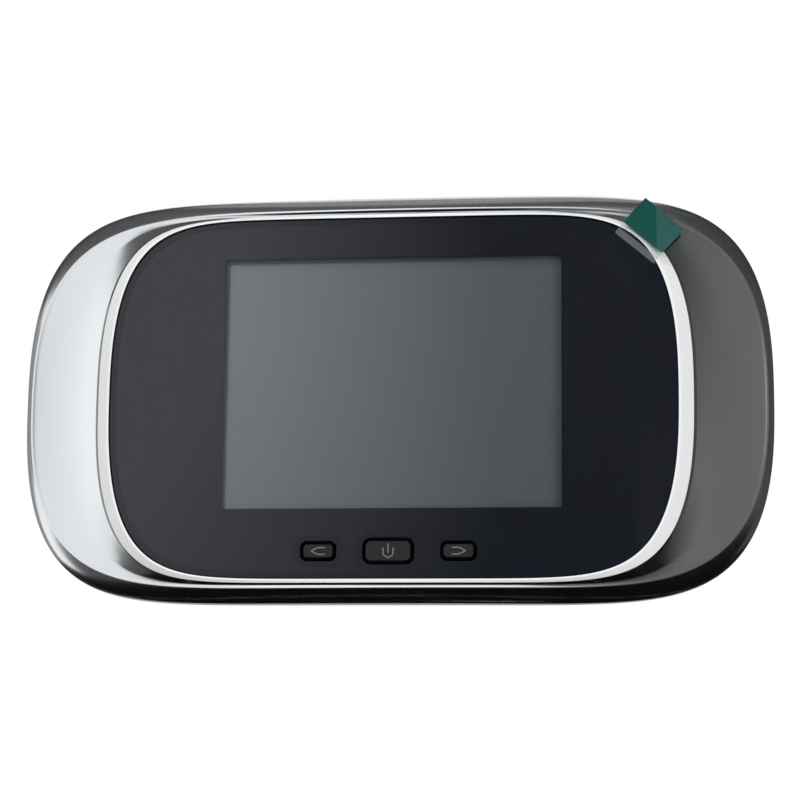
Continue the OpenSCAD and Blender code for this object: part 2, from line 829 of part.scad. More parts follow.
// Front frame: window seat, screen opening, key holes, board bosses and screw ears
module front_frame() color("#1e1f22") in_monitor() {
    ear_w = boss_d + 2;
    difference() {
        union() {
            slab(s_frame0, s_frame1)
                window_shape();
            slab(s_flange0, s_frame0 + slip)
                difference() {
                    window_shape();
                    window_shape(frame_wall);
                }
            slab(s_flange0, s_flange1)
                difference() {
                    polygon(outline(win_x + seat_w - gap, win_z + seat_h - slip, window_px, window_pz));
                    window_shape(frame_wall);
                }
            slab(s_flange0, s_boss1)
                difference() {
                    for (x = [-1, 1], z = [-1, 1])
                        translate([x * case_screw_x / 2, z * case_screw_z])
                            square([case_screw_x, ear_w], center = true);
                    window_shape(frame_wall);
                }
            case_screw_places()
                bar(0, 0, boss_d, s_boss0, s_boss1);
            for (p = concat(board_screw_places(), board_pad_places()))
                bar(p[0], p[1], 2 * screw_d, s_board1, s_frame0 + slip);
        }
        slab(s_frame0 - gap, s_frame1 + gap)
            translate([0, lcd_dz])
                square([lcd_w + 2 * gap, lcd_h + 2 * gap], center = true);
        for (i = [-1, 0, 1])
            at_key(i)
                slab(s_key0 - key_travel - gap, s_frame1 + gap)
                    key_shape(i, key_flange + key_gap);
        // room for the bend of the screen's flex tail and for the battery bay's corners
        slab(s_frame0 - gap, s_frame0 + frame_t / 2)
            translate([flex_x, flex_bend + flex_r / 2])
                square([flex_w + 2 * gap, flex_r + 4 * flex_t], center = true);
        slab(s_flange0 - gap, s_floor1 + gap)
            translate([bay_x, 0])
                bay_shape(rib_t + gap);
        case_screw_places()
            bar(0, 0, screw_d + slip / 2, s_boss0 - gap, s_boss1 + gap);
        for (p = board_screw_places())
            bar(p[0], p[1], screw_d + slip / 2, s_board0, s_frame1 - frame_t / 2);
    }
}

module board_screws() color("dimgray") in_monitor()
    for (p = board_screw_places())
        translate([p[0], 0, p[1]])
            screw(s_board0, s_frame0 - s_board0);

// Front bezel: one lofted ring. It climbs the window's edge to the rim's crest, slopes to the
// rim's foot, hollows out into the wings, rises to the ridge and rolls over into the sides.
module bezel_skin() {
    crest_w = 0.25;
    open_x = win_x + slip;
    open_z = win_z + slip;
    foot = [open_x + rim_x, open_z + rim_z, window_px, window_pz, s_crest - rim_drop_z, s_crest - rim_drop];
    ridge = [body_x - ridge_in_x, body_z - ridge_in_z, ridge_px, ridge_pz,
        s_crest - ridge_drop_z, s_crest - ridge_drop];
    belly = [body_x, body_z, body_px, body_pz, s_crest - belly_drop_z, s_crest - belly_drop];
    seam = [seam_x, seam_z, body_px, body_pz, s_seam, s_seam];
    seat = s_flange1 + slip / 2;
    function edge(grow, s) = [open_x + grow, open_z + grow, window_px, window_pz, s, s];
    hollow = [0, 0, 0, 0, scoop_z, scoop];
    function wing(u) = mix(foot, ridge, u) - hollow * sin(180 * pow(u, scoop_lean));
    // the roll is a quarter of an ellipse from ridge to belly
    span = belly - ridge;
    function roll(a) = [for (k = [0:5]) ridge[k] + span[k] * (k < 2 ? sin(a) : 1 - cos(a))];
    inner_top = [seam_x - wall + draw_in_x / 2, seam_z - wall + draw_in_z / 4, body_px, body_pz,
        seat, s_crest - ridge_drop - wall - slip];
    rim = [edge(0, seat), edge(0, s_crest - crest_w), edge(crest_w / 3, s_crest - crest_w / 4),
        edge(crest_w, s_crest), edge(2 * crest_w, s_crest - crest_w / 3)];
    wings = [for (u = [0:6]) wing(u / 6)];
    side = [for (a = [25, 50, 72, 90]) roll(a)];
    flank = mix(belly, seam, 0.5) + [draw_in_x / 6, draw_in_z / 6, 0, 0, 0, 0];
    inside = [[seam_x - wall, seam_z - wall, body_px, body_pz, s_seam, s_seam], inner_top,
        [open_x + seat_w, open_z + seat_h, window_px, window_pz, seat, seat]];
    skin([for (r = concat(rim, wings, side, [flank, seam], inside)) ring(r)], true);
}

module front_bezel() color("#c9ced2") in_monitor()
    bezel_skin();

// Window: tape ring, panel with the key openings, film and its pull tab
module window_tape() color("black") in_monitor() {
    margin = 0.5;
    slab(s_frame1, s_win0)
        difference() {
            window_shape(margin);
            translate([0, lcd_dz])
                square([lcd_w + 2 * margin, lcd_h + 2 * margin], center = true);
            for (i = [-1, 0, 1])
                translate([i * key_pitch, key_z])
                    key_shape(i, key_flange + margin);
        }
}

module window_panel() color("#202326") in_monitor()
    slab(s_win0, s_win1)
        difference() {
            window_shape();
            for (i = [-1, 0, 1])
                translate([i * key_pitch, key_z])
                    key_shape(i, 0);
        }

module screen_film() color("lightcyan", 0.3) in_monitor()
    slab(s_win1, s_film)
        difference() {
            window_shape(film_margin);
            for (i = [-1, 0, 1])
                translate([i * key_pitch, key_z])
                    key_shape(i, film_margin);
        }

// Standoff of the tab's underside at a distance along it, measured from the rim's crest
function tab_s(d) = d < -tab_climb ? s_film
    : d < 0 ? mix(s_film, s_crest + slip, (1 - cos(180 * (d + tab_climb) / tab_climb)) / 2)
    : s_crest + slip - tab_droop * pow(d / tab_free, 2);
tab_climb = 1.6;

module film_pull_tab() color("#1a4a42") in_monitor() {
    steps = 6;
    line = concat([-tab_stuck], [for (i = [0:steps]) -tab_climb * (1 - i / steps)],
        [for (i = [1:steps]) tab_free * i / steps]);
    under = [for (d = line) [d, tab_s(d)]];
    over = [for (i = [len(line) - 1:-1:0]) [line[i], tab_s(line[i]) + tab_t]];
    foot = outline_at(win_x + slip, win_z + slip, window_px, window_pz, tab_at);
    translate([foot[0], 0, foot[1]])
        rotate([0, -tab_turn, 0])
            rotate([180, 0, 0])
                linear_extrude(tab_w, center = true)
                    polygon(concat(under, over));
}

door_bracket();
rear_cover();
battery_door();
aaa_cell(1);  // aaa_cell_1
aaa_cell(2);  // aaa_cell_2
aaa_cell(3);  // aaa_cell_3
battery_springs();
contact_plates();
case_screws();
main_board();
board_chips();
camera_socket();
lcd_socket();
board_screws();
tact_switches();
back_switch_stem();
power_switch_stem();
next_switch_stem();
lcd_tray();
lcd_panel();
lcd_flex();
lcd_gasket();
front_frame();
front_bezel();
window_tape();
window_panel();
screen_film();
film_pull_tab();
back_key();
power_key();
next_key();
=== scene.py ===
import math

import bmesh
import bpy
from mathutils import Matrix, Vector


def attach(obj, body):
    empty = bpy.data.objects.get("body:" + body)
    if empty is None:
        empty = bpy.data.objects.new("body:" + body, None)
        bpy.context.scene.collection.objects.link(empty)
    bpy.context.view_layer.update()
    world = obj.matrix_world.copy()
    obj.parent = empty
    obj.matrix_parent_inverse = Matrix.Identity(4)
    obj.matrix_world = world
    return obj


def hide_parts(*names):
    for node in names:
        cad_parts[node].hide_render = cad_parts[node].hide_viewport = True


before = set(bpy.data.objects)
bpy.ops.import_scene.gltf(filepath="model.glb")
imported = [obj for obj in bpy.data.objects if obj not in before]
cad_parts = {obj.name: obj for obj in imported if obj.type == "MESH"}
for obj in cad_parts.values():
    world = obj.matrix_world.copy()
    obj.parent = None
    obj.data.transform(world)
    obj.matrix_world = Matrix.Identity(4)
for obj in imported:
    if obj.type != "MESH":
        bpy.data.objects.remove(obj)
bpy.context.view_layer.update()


# Door bracket: the plate that two wood screws hold on the door, with four hooks for the monitor.
# Zinc-plated sheet steel, blanked and pierced, its hooks lanced and bent; edges tumbled smooth.
MM = 0.001
merge_gap = 0.002
flat_angle = 0.4
plate_edge, plate_sharp = 0.12, 50
zinc_cloud = 3


def linear(colour):
    """An sRGB hex colour as the linear values that a shader takes."""
    parts = [int(colour[i : i + 2], 16) / 255 for i in (1, 3, 5)]
    return [c / 12.92 if c <= 0.04045 else ((c + 0.055) / 1.055) ** 2.4 for c in parts] + [1.0]


def add(owner, kind, settings=None, links=None, **options):
    """Add a shader node with its options, its socket values and its links."""
    tree = owner.node_tree
    node = tree.nodes.new("ShaderNode" + kind)
    for name, value in options.items():
        setattr(node, name, value)
    for name, value in (settings or {}).items():
        node.inputs[name].default_value = value
    for name, source in (links or {}).items():
        tree.links.new(source, node.inputs[name])
    return node


def blank_finish(name):
    """An empty material, to be filled with nodes."""
    material = bpy.data.materials.new(name)
    material.use_nodes = True
    material.node_tree.nodes.clear()
    return material


def dressed_copy(node, edge=0.0, sharp=35):
    """A copy of a CAD node with its points merged and, if asked, its sharp edges rounded off."""
    bm = bmesh.new()
    bm.from_mesh(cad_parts[node].data)
    bmesh.ops.remove_doubles(bm, verts=bm.verts[:], dist=merge_gap * MM)
    if edge:
        bmesh.ops.dissolve_limit(bm, angle_limit=math.radians(flat_angle), verts=bm.verts[:],
                                 edges=bm.edges[:])
        corners = [e for e in bm.edges
                   if len(e.link_faces) == 2 and e.calc_face_angle() > math.radians(sharp)]
        bmesh.ops.bevel(bm, geom=corners, offset=edge * MM, offset_type="OFFSET", affect="EDGES",
                        segments=2, profile=0.5, material=-1, clamp_overlap=True)
    return bm


def new_object(name, bm, materials):
    """An object of a finished mesh with its materials."""
    mesh = bpy.data.meshes.new(name)
    bm.to_mesh(mesh)
    bm.free()
    for material in materials:
        mesh.materials.append(material)
    made = bpy.data.objects.new(name, mesh)
    bpy.context.scene.collection.objects.link(made)
    return made


def piece(name, bm, body, materials, replaced=(), sharp=40, level=False):
    """A piece that rides on its body; level keeps its flat faces even up to their bevels."""
    for face in bm.faces:
        face.smooth = True
    for edge in bm.edges:
        edge.smooth = len(edge.link_faces) != 2 or edge.calc_face_angle() < math.radians(sharp)
    made = new_object(name, bm, materials)
    if level:
        weigh = made.modifiers.new("level_faces", "WEIGHTED_NORMAL")
        weigh.keep_sharp = True
        weigh.weight = 100
    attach(made, body)
    if replaced:
        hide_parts(*replaced)


# Zinc plating is a dull blue-grey metal with faint cloudy patches a few millimetres wide.
zinc = blank_finish("zinc_plated_steel")
place = add(zinc, "TexCoord")
clouds = add(zinc, "TexNoise", {"Scale": 1 / (zinc_cloud * MM), "Detail": 4.0},
             {"Vector": place.outputs["Object"]})
tone = add(zinc, "Mix", {"A": linear("#a7acb1"), "B": linear("#c3c7ca")},
           {"Factor": clouds.outputs["Fac"]}, data_type="RGBA")
haze = add(zinc, "MapRange", {"To Min": 0.3, "To Max": 0.46}, {"Value": clouds.outputs["Fac"]})
skin = add(zinc, "BsdfPrincipled", {"Metallic": 1.0},
           {"Base Color": tone.outputs["Result"], "Roughness": haze.outputs["Result"]})
add(zinc, "OutputMaterial", links={"Surface": skin.outputs["BSDF"]})
piece("door_plate", dressed_copy("door_bracket", plate_edge), "bracket", [zinc],
      ["door_bracket"], sharp=plate_sharp, level=True)


# Rear cover: the shell behind the seam, with battery bay, cable well and slots for the hooks.
# Injection-moulded black ABS, spark-eroded to a fine matt grain, held by four screws.
abs_grain, abs_patch = 0.35, 9

# Eroded ABS is a soft matt black whose grain breaks up every highlight. The real grain is about
# 0.05 mm wide; it is drawn coarser so that it shows.
abs_black = blank_finish("moulded_black_abs")
place = add(abs_black, "TexCoord")
grain = add(abs_black, "TexNoise", {"Scale": 1 / (abs_grain * MM), "Detail": 2.0},
            {"Vector": place.outputs["Object"]})
patches = add(abs_black, "TexNoise", {"Scale": 1 / (abs_patch * MM), "Detail": 3.0},
              {"Vector": place.outputs["Object"]})
tone = add(abs_black, "Mix", {"A": linear("#17181a"), "B": linear("#202124")},
           {"Factor": patches.outputs["Fac"]}, data_type="RGBA")
haze = add(abs_black, "MapRange", {"To Min": 0.44, "To Max": 0.6}, {"Value": grain.outputs["Fac"]})
bumps = add(abs_black, "Bump", {"Strength": 0.35, "Distance": 0.03 * MM}, {"Height": grain.outputs["Fac"]})
skin = add(abs_black, "BsdfPrincipled", {"IOR": 1.53},
           {"Base Color": tone.outputs["Result"], "Roughness": haze.outputs["Result"],
            "Normal": bumps.outputs["Normal"]})
add(abs_black, "OutputMaterial", links={"Surface": skin.outputs["BSDF"]})
piece("back_shell", dressed_copy("rear_cover"), "monitor", [abs_black], ["rear_cover"],
      level=True)


# Battery door: the lid over the three cells, which tilts out on two tongues.
# Moulded in the same black ABS, with a thumb hollow and four grip grooves.
lid_edge, lid_sharp = 0.12, 50
piece("battery_lid", dressed_copy("battery_door", lid_edge), "battery_door", [abs_black],
      ["battery_door"], sharp=lid_sharp, level=True)


# AAA cells: three in a row, turned about in series, held between springs and contact plates.
# A drawn nickel-plated steel can in a shrunk plastic jacket, with a nub at the plus end.
cell_r, cell_len = 5.25, 44.5
cell_foot, cell_s = -20.2, 7.35
cell_across = (39.0, 50.0, 61.0)
cell_turned = 2
cell_steps = 48
jacket_mouth = 4.3
jacket_wave = 2.5
drawing_mark = 0.8

# Shrunk film is smooth and glossy, with a soft waviness where it has drawn tight.
jacket = blank_finish("shrunk_cell_jacket")
place = add(jacket, "TexCoord")
waves = add(jacket, "TexNoise", {"Scale": 1 / (jacket_wave * MM), "Detail": 2.0},
            {"Vector": place.outputs["Object"]})
ripple = add(jacket, "Bump", {"Strength": 0.25, "Distance": 0.04 * MM}, {"Height": waves.outputs["Fac"]})
tone = add(jacket, "Mix", {"A": linear("#27466e"), "B": linear("#2f5382")},
           {"Factor": waves.outputs["Fac"]}, data_type="RGBA")
skin = add(jacket, "BsdfPrincipled", {"Roughness": 0.28, "IOR": 1.5},
           {"Base Color": tone.outputs["Result"], "Normal": ripple.outputs["Normal"]})
add(jacket, "OutputMaterial", links={"Surface": skin.outputs["BSDF"]})

# Nickel plating is bright and slightly warm, with fine drawing marks.
nickel = blank_finish("nickel_plated_steel")
place = add(nickel, "TexCoord")
marks = add(nickel, "TexNoise", {"Scale": 1 / (drawing_mark * MM), "Detail": 3.0},
            {"Vector": place.outputs["Object"]})
haze = add(nickel, "MapRange", {"To Min": 0.2, "To Max": 0.34}, {"Value": marks.outputs["Fac"]})
skin = add(nickel, "BsdfPrincipled", {"Base Color": linear("#c9c6bd"), "Metallic": 1.0},
           {"Roughness": haze.outputs["Result"]})
add(nickel, "OutputMaterial", links={"Surface": skin.outputs["BSDF"]})

# radius and height from the foot: the jacket wraps over both ends, and the can shows inside its mouths
cell_profile = [(0.0, 0.0), (3.9, 0.0), (4.0, 0.12), (4.25, 0.12), (4.4, 0.0), (4.85, 0.03), (5.12, 0.16),
                (cell_r, 0.5), (cell_r, 42.9), (5.15, 43.25), (4.85, 43.46), (4.3, 43.5), (4.1, 43.3),
                (2.3, 43.3), (2.2, 43.4), (1.9, 43.45), (1.9, 44.2), (1.8, 44.4), (1.55, cell_len),
                (0.0, cell_len)]
for number, across in enumerate(cell_across, start=1):
    bm = bmesh.new()
    corners = [bm.verts.new((r * MM, 0, (cell_foot + h) * MM)) for r, h in cell_profile]
    line = [bm.edges.new(pair) for pair in zip(corners, corners[1:])]
    bmesh.ops.spin(bm, geom=corners + line, cent=(0, 0, 0), axis=(0, 0, 1), angle=2 * math.pi,
                   steps=cell_steps, use_merge=True)
    bmesh.ops.remove_doubles(bm, verts=bm.verts[:], dist=merge_gap * MM)
    bmesh.ops.recalc_face_normals(bm, faces=bm.faces[:])
    for face in bm.faces:
        face.material_index = int(face.calc_center_median().xy.length < jacket_mouth * MM)
    turn = Matrix.Rotation(math.pi * (number == cell_turned), 4, "X")
    bmesh.ops.transform(bm, matrix=Matrix.Translation((across * MM, -cell_s * MM, 0)) @ turn,
                        verts=bm.verts[:])
    piece("jacketed_cell_%d" % number, bm, "monitor", [jacket, nickel],
          ["aaa_cell_%d" % number], sharp=50)


# Battery springs: one conical coil at the minus end of each cell, standing on its contact plate.
# Nickel-plated spring wire, three curls that close towards the cell.
wire_r, wire_sides = 0.25, 10
coil_foot, coil_height = -24.9, 4.7
coil_r0, coil_r1 = 3.4, 2.6
coil_turns, turn_steps = 3, 28
coil_steps = turn_steps * coil_turns
coil_rise = coil_height - 2 * wire_r
bm = bmesh.new()
for number, across in enumerate(cell_across, start=1):
    section = bmesh.ops.create_circle(bm, segments=wire_sides, radius=wire_r * MM)["verts"]
    upright = Matrix.Translation((coil_r0 * MM, 0, wire_r * MM)) @ Matrix.Rotation(math.pi / 2, 4, "X")
    bmesh.ops.transform(bm, matrix=upright, verts=section)
    ring = list({e for v in section for e in v.link_edges})
    before = set(bm.verts) - set(section)
    bmesh.ops.spin(bm, geom=section + ring, cent=(0, 0, 0), axis=(0, 0, 1),
                   angle=2 * math.pi * coil_turns, dvec=(0, 0, coil_rise * MM / coil_steps),
                   steps=coil_steps)
    coil = [v for v in bm.verts if v not in before]
    for v in coil:
        share = min(max(v.co.z / (coil_height * MM), 0), 1)
        narrow = 1 - share * (1 - coil_r1 / coil_r0)
        v.co = Vector((v.co.x * narrow, v.co.y * narrow, v.co.z))
    bmesh.ops.holes_fill(bm, edges=[e for e in bm.edges if e.is_boundary], sides=wire_sides)
    turn = Matrix.Rotation(math.pi * (number == cell_turned), 4, "X")
    turn = turn @ Matrix.Translation((0, 0, coil_foot * MM))
    bmesh.ops.transform(bm, matrix=Matrix.Translation((across * MM, -cell_s * MM, 0)) @ turn, verts=coil)
bmesh.ops.recalc_face_normals(bm, faces=bm.faces[:])
piece("cell_springs", bm, "monitor", [nickel], ["battery_springs"], sharp=60)


# Contact plates: bent tabs on the bay's end walls, one dimpled and one flat for each cell.
# Stamped from sheet steel with the same nickel plating as the springs.


def coat(node, material):
    """Give a CAD node that is shown as it is its material."""
    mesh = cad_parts[node].data
    mesh.materials.clear()
    mesh.materials.append(material)


coat("contact_plates", nickel)


# Screws: four that hold the rear cover, and two that hold the board.
# Thread-forming steel screws with a cross recess, blackened with zinc.
black_spot = 0.5

# Black zinc is a dark, slightly oily metal with small dull spots.
black_zinc = blank_finish("black_zinc_steel")
place = add(black_zinc, "TexCoord")
spots = add(black_zinc, "TexNoise", {"Scale": 1 / (black_spot * MM), "Detail": 3.0},
            {"Vector": place.outputs["Object"]})
haze = add(black_zinc, "MapRange", {"To Min": 0.28, "To Max": 0.45}, {"Value": spots.outputs["Fac"]})
skin = add(black_zinc, "BsdfPrincipled", {"Base Color": linear("#4a4b4e"), "Metallic": 1.0},
           {"Roughness": haze.outputs["Result"]})
add(black_zinc, "OutputMaterial", links={"Surface": skin.outputs["BSDF"]})
coat("case_screws", black_zinc)
coat("board_screws", black_zinc)


# Main board: it carries chips, sockets and switches, and two screws hold it in the frame.
# Glass-fibre laminate under green solder mask, routed to the frame's inside.
track_field = 5
glass_weave = 0.6

# Solder mask is a glossy green skin; copper tracks show through it as slightly lighter lines.
mask = blank_finish("green_solder_mask")
place = add(mask, "TexCoord")
tracks = add(mask, "TexBrick", {"Scale": 1 / (track_field * MM), "Mortar Size": 0.06,
                                "Color1": linear("#0f4a2d"), "Color2": linear("#0d4228"),
                                "Mortar": linear("#1f6b43")},
             {"Vector": place.outputs["Object"]})
weave = add(mask, "TexNoise", {"Scale": 1 / (glass_weave * MM), "Detail": 2.0},
            {"Vector": place.outputs["Object"]})
raise_up = add(mask, "Bump", {"Strength": 0.3, "Distance": 0.03 * MM}, {"Height": weave.outputs["Fac"]})
skin = add(mask, "BsdfPrincipled", {"Roughness": 0.35, "IOR": 1.5},
           {"Base Color": tracks.outputs["Color"], "Normal": raise_up.outputs["Normal"]})
add(mask, "OutputMaterial", links={"Surface": skin.outputs["BSDF"]})
coat("main_board", mask)


# Chips: the processor and its neighbours, soldered on the back of the board.
# Moulded in black epoxy resin.
resin_speck = 0.25

# Filled resin is a matt charcoal with a fine speckle.
epoxy = blank_finish("moulded_chip_resin")
place = add(epoxy, "TexCoord")
specks = add(epoxy, "TexNoise", {"Scale": 1 / (resin_speck * MM), "Detail": 3.0},
             {"Vector": place.outputs["Object"]})
tone = add(epoxy, "Mix", {"A": linear("#1c1d1f"), "B": linear("#292a2c")},
           {"Factor": specks.outputs["Fac"]}, data_type="RGBA")
skin = add(epoxy, "BsdfPrincipled", {"Roughness": 0.62, "IOR": 1.55}, {"Base Color": tone.outputs["Result"]})
add(epoxy, "OutputMaterial", links={"Surface": skin.outputs["BSDF"]})
coat("board_chips", epoxy)


# Sockets: one for the camera's ribbon and one for the screen's tail, soldered on the board.
# Moulded in ivory nylon.
nylon_cloud = 1.5

# Unpainted nylon is a warm off-white with a dull shine and a hint of cloud.
nylon = blank_finish("ivory_nylon")
place = add(nylon, "TexCoord")
clouds = add(nylon, "TexNoise", {"Scale": 1 / (nylon_cloud * MM), "Detail": 3.0},
             {"Vector": place.outputs["Object"]})
tone = add(nylon, "Mix", {"A": linear("#d9d3c0"), "B": linear("#e8e3d3")},
           {"Factor": clouds.outputs["Fac"]}, data_type="RGBA")
skin = add(nylon, "BsdfPrincipled", {"Roughness": 0.48, "IOR": 1.53}, {"Base Color": tone.outputs["Result"]})
add(nylon, "OutputMaterial", links={"Surface": skin.outputs["BSDF"]})
coat("camera_socket", nylon)
coat("lcd_socket", nylon)


# Tact switches: three on the front of the board, one behind each key, with the stems that the keys push.
# Stamped tin-plated cans, and stems moulded in black resin.
can_mark = 0.4

# Tin plating is a soft grey metal with fine rubbing marks.
tin = blank_finish("tin_plated_can")
place = add(tin, "TexCoord")
marks = add(tin, "TexNoise", {"Scale": 1 / (can_mark * MM), "Detail": 2.0},
            {"Vector": place.outputs["Object"]})
haze = add(tin, "MapRange", {"To Min": 0.3, "To Max": 0.45}, {"Value": marks.outputs["Fac"]})
skin = add(tin, "BsdfPrincipled", {"Base Color": linear("#b9babb"), "Metallic": 1.0},
           {"Roughness": haze.outputs["Result"]})
add(tin, "OutputMaterial", links={"Surface": skin.outputs["BSDF"]})
coat("tact_switches", tin)
for stem in ("back_switch_stem", "power_switch_stem", "next_switch_stem"):
    coat(stem, epoxy)


# Screen module: a glass panel in a white backlight tray, with a foam gasket and a flex tail.
# It lies in the front frame behind the window, and the gasket keeps dust out between them.
tray_cloud = 2
panel_speck = 0.3
flex_field = 6
foam_pore = 0.3

# The tray's polycarbonate is a clean white with a soft shine.
tray_white = blank_finish("white_polycarbonate")
place = add(tray_white, "TexCoord")
clouds = add(tray_white, "TexNoise", {"Scale": 1 / (tray_cloud * MM), "Detail": 2.0},
             {"Vector": place.outputs["Object"]})
tone = add(tray_white, "Mix", {"A": linear("#e3e5e6"), "B": linear("#eff0f0")},
           {"Factor": clouds.outputs["Fac"]}, data_type="RGBA")
skin = add(tray_white, "BsdfPrincipled", {"Roughness": 0.4, "IOR": 1.58},
           {"Base Color": tone.outputs["Result"]})
add(tray_white, "OutputMaterial", links={"Surface": skin.outputs["BSDF"]})
coat("lcd_tray", tray_white)

# The dark panel is a dull grey under a slightly hazy polariser. The layers behind that mirror more
# than glass does, which the high IOR stands for.
polariser = blank_finish("grey_polariser_glass")
place = add(polariser, "TexCoord")
specks = add(polariser, "TexNoise", {"Scale": 1 / (panel_speck * MM), "Detail": 1.0},
             {"Vector": place.outputs["Object"]})
tone = add(polariser, "Mix", {"A": linear("#7b7f82"), "B": linear("#818588")},
           {"Factor": specks.outputs["Fac"]}, data_type="RGBA")
skin = add(polariser, "BsdfPrincipled", {"Roughness": 0.14, "IOR": 2.6},
           {"Base Color": tone.outputs["Result"]})
add(polariser, "OutputMaterial", links={"Surface": skin.outputs["BSDF"]})
coat("lcd_panel", polariser)

# Polyimide is a glossy amber film; its conductors show as lighter lines about 2 mm apart.
amber = blank_finish("amber_polyimide")
place = add(amber, "TexCoord")
lines = add(amber, "TexWave", {"Scale": 1 / (flex_field * MM), "Distortion": 0.0},
            {"Vector": place.outputs["Object"]}, bands_direction="X")
tone = add(amber, "Mix", {"A": linear("#6e430f"), "B": linear("#93601c")},
           {"Factor": lines.outputs["Fac"]}, data_type="RGBA")
skin = add(amber, "BsdfPrincipled", {"Roughness": 0.3, "IOR": 1.6}, {"Base Color": tone.outputs["Result"]})
add(amber, "OutputMaterial", links={"Surface": skin.outputs["BSDF"]})
coat("lcd_flex", amber)

# Foam is a dead matt black, pitted with small pores.
foam = blank_finish("black_foam")
place = add(foam, "TexCoord")
pores = add(foam, "TexVoronoi", {"Scale": 1 / (foam_pore * MM)}, {"Vector": place.outputs["Object"]})
pits = add(foam, "Bump", {"Strength": 0.6, "Distance": 0.08 * MM}, {"Height": pores.outputs["Distance"]})
skin = add(foam, "BsdfPrincipled", {"Base Color": linear("#0f0f10"), "Roughness": 0.95},
           {"Normal": pits.outputs["Normal"]})
add(foam, "OutputMaterial", links={"Surface": skin.outputs["BSDF"]})
coat("lcd_gasket", foam)


# Front frame: the black moulding that carries window, screen, board and bezel, and the tape ring on it.
# The frame is moulded ABS like the rear cover, the tape a black acrylic foam die-cut to its outline.
coat("front_frame", abs_black)
coat("window_tape", foam)


# Front bezel: one ring with a sloped rim round the window, scooped wings, a ridge and rolled sides.
# Moulded ABS plated with satin chrome, a soft mirror without grain; its rim is drawn as a matt paler
# silver, a painted highlight for the bright reflection on its slope. It seats on the front frame.
monitor_x = 24.0
crest_s, seat_s, seam_s = 20.9, 15.95, 9.5
open_x, open_z = 48.3, 30.9
body_x, body_z = 64.25, 35.1
seam_x, seam_z = 63.0, 33.2
wall = 1.8
# powers of the outlines, of which 2 and 2 would make an ellipse
window_powers = (7.4, 2.6)
body_powers = (6.7, 2.65)
ridge_powers = (6.2, 2.5)
# the rim's inner lip is rounded, and its slope runs from a narrow top down to its foot
lip_start, lip_out, lip_down = 0.3, 0.2, 0.25
top_out, top_drop = 0.35, 0.02
foot_out_x, foot_out_z, foot_drop, foot_end_drop = 3.0, 0.75, 0.2, 3
# between foot and ridge lies the valley: hollow at the ends, a groove at top and bottom
valley_share = 0.42
wing_hollow, wing_power, hollow_turn = 0.84, 12, 1.5
groove_deep, groove_rise = 0.33, 0.87
ridge_in_x, ridge_in_z, ridge_drop, ridge_end_drop = 0.95, 2.7, 0.5, 4.8
shoulder_x, shoulder_z = 0.3, 0.12
# the wing tips turn down by the twist at most: the factor makes their curve's peak about 1
corner_twist, twist_power, twist_factor = 0.22, 6, 9.5
# the flank rolls over to the widest line, and breaks off more steeply at the ends
belly_drop, belly_end_drop = 3.3, 5.7
roll_start = 0.4
end_out_pulls, end_down_pulls = (0.9, 3), (0.75, 1.8)
side_swell = 1 / 6
# the inside stands off the seam's wall and ends beside the window's opening
inner_x, inner_z, inner_gap = 0.62, 0.47, 0.1
seat_out_x, seat_out_z = 1.9, 0.4
quarter_points = 72
bezel_gap = 0.0005
haze_drift = 6
rim_speckle = 0.4


def even_turns(half_w, half_h, p, q, quarter):
    """Angles at which points stand evenly along an outline between ellipse and rectangle."""
    tries = 4000
    fine = [math.pi / 2 * (1 - (1 - i / tries) ** 4) for i in range(tries + 1)]
    spots = [(half_w * max(math.cos(t), 0) ** (2 / p), half_h * math.sin(t) ** (2 / q)) for t in fine]
    run = [0.0]
    for a, b in zip(spots, spots[1:]):
        run.append(run[-1] + math.dist(a, b))
    turns = []
    at = 0
    for k in range(quarter):
        while run[at] < run[-1] * k / quarter:
            at += 1
        turns.append(fine[at])
    first = turns + [math.pi / 2]
    half = first + [math.pi - t for t in reversed(first[1:-1])] + [math.pi]
    return half + [2 * math.pi - t for t in reversed(half[1:-1])]


def hoop(ring, hollow, groove, turns):
    """Points of one loop round the window: it bows from top to ends, hollowed there and grooved between."""
    half_w, half_h, p, q, top_s, end_s, twist = ring
    loop = []
    for t in turns:
        c, s = math.cos(t), math.sin(t)
        x = half_w * math.copysign(abs(c) ** (2 / p), c)
        z = half_h * math.copysign(abs(s) ** (2 / q), s)
        out = abs(x) / half_w
        stand = top_s + (end_s - top_s) * out**2 - hollow * out**wing_power - groove * (1 - out**2)
        stand -= twist * twist_factor * out**twist_power * (1 - out**2)
        loop.append(Vector((monitor_x + x, -stand, z)) * MM)
    return loop


def edge_hoop(grow, s):
    """The window opening's outline, grown by an amount, at one standoff."""
    return Vector((open_x + grow, open_z + grow, *window_powers, s, s, 0))


def pulled(u, pulls):
    """A share from 0 to 1 on a cubic curve with two pulls."""
    return pulls[0] * u * (1 - u) ** 2 + pulls[1] * u**2 * (1 - u) + u**3


# each loop: half width, half height, two powers of its outline, standoffs at top and ends, and twist
foot = Vector((open_x + foot_out_x, open_z + foot_out_z, *window_powers, crest_s - foot_drop,
               crest_s - foot_end_drop, 0))
ridge = Vector((body_x - ridge_in_x, body_z - ridge_in_z, *ridge_powers, crest_s - ridge_drop,
                crest_s - ridge_end_drop, corner_twist))
valley = foot.lerp(ridge, valley_share)
shoulder = ridge - Vector((shoulder_x, shoulder_z, 0, 0, 0, 0, 0))
belly = Vector((body_x, body_z, *body_powers, crest_s - belly_drop, crest_s - belly_end_drop,
                corner_twist / 2))
seam = Vector((seam_x, seam_z, *body_powers, seam_s, seam_s, 0))
rim_top = edge_hoop(top_out, crest_s - top_drop)

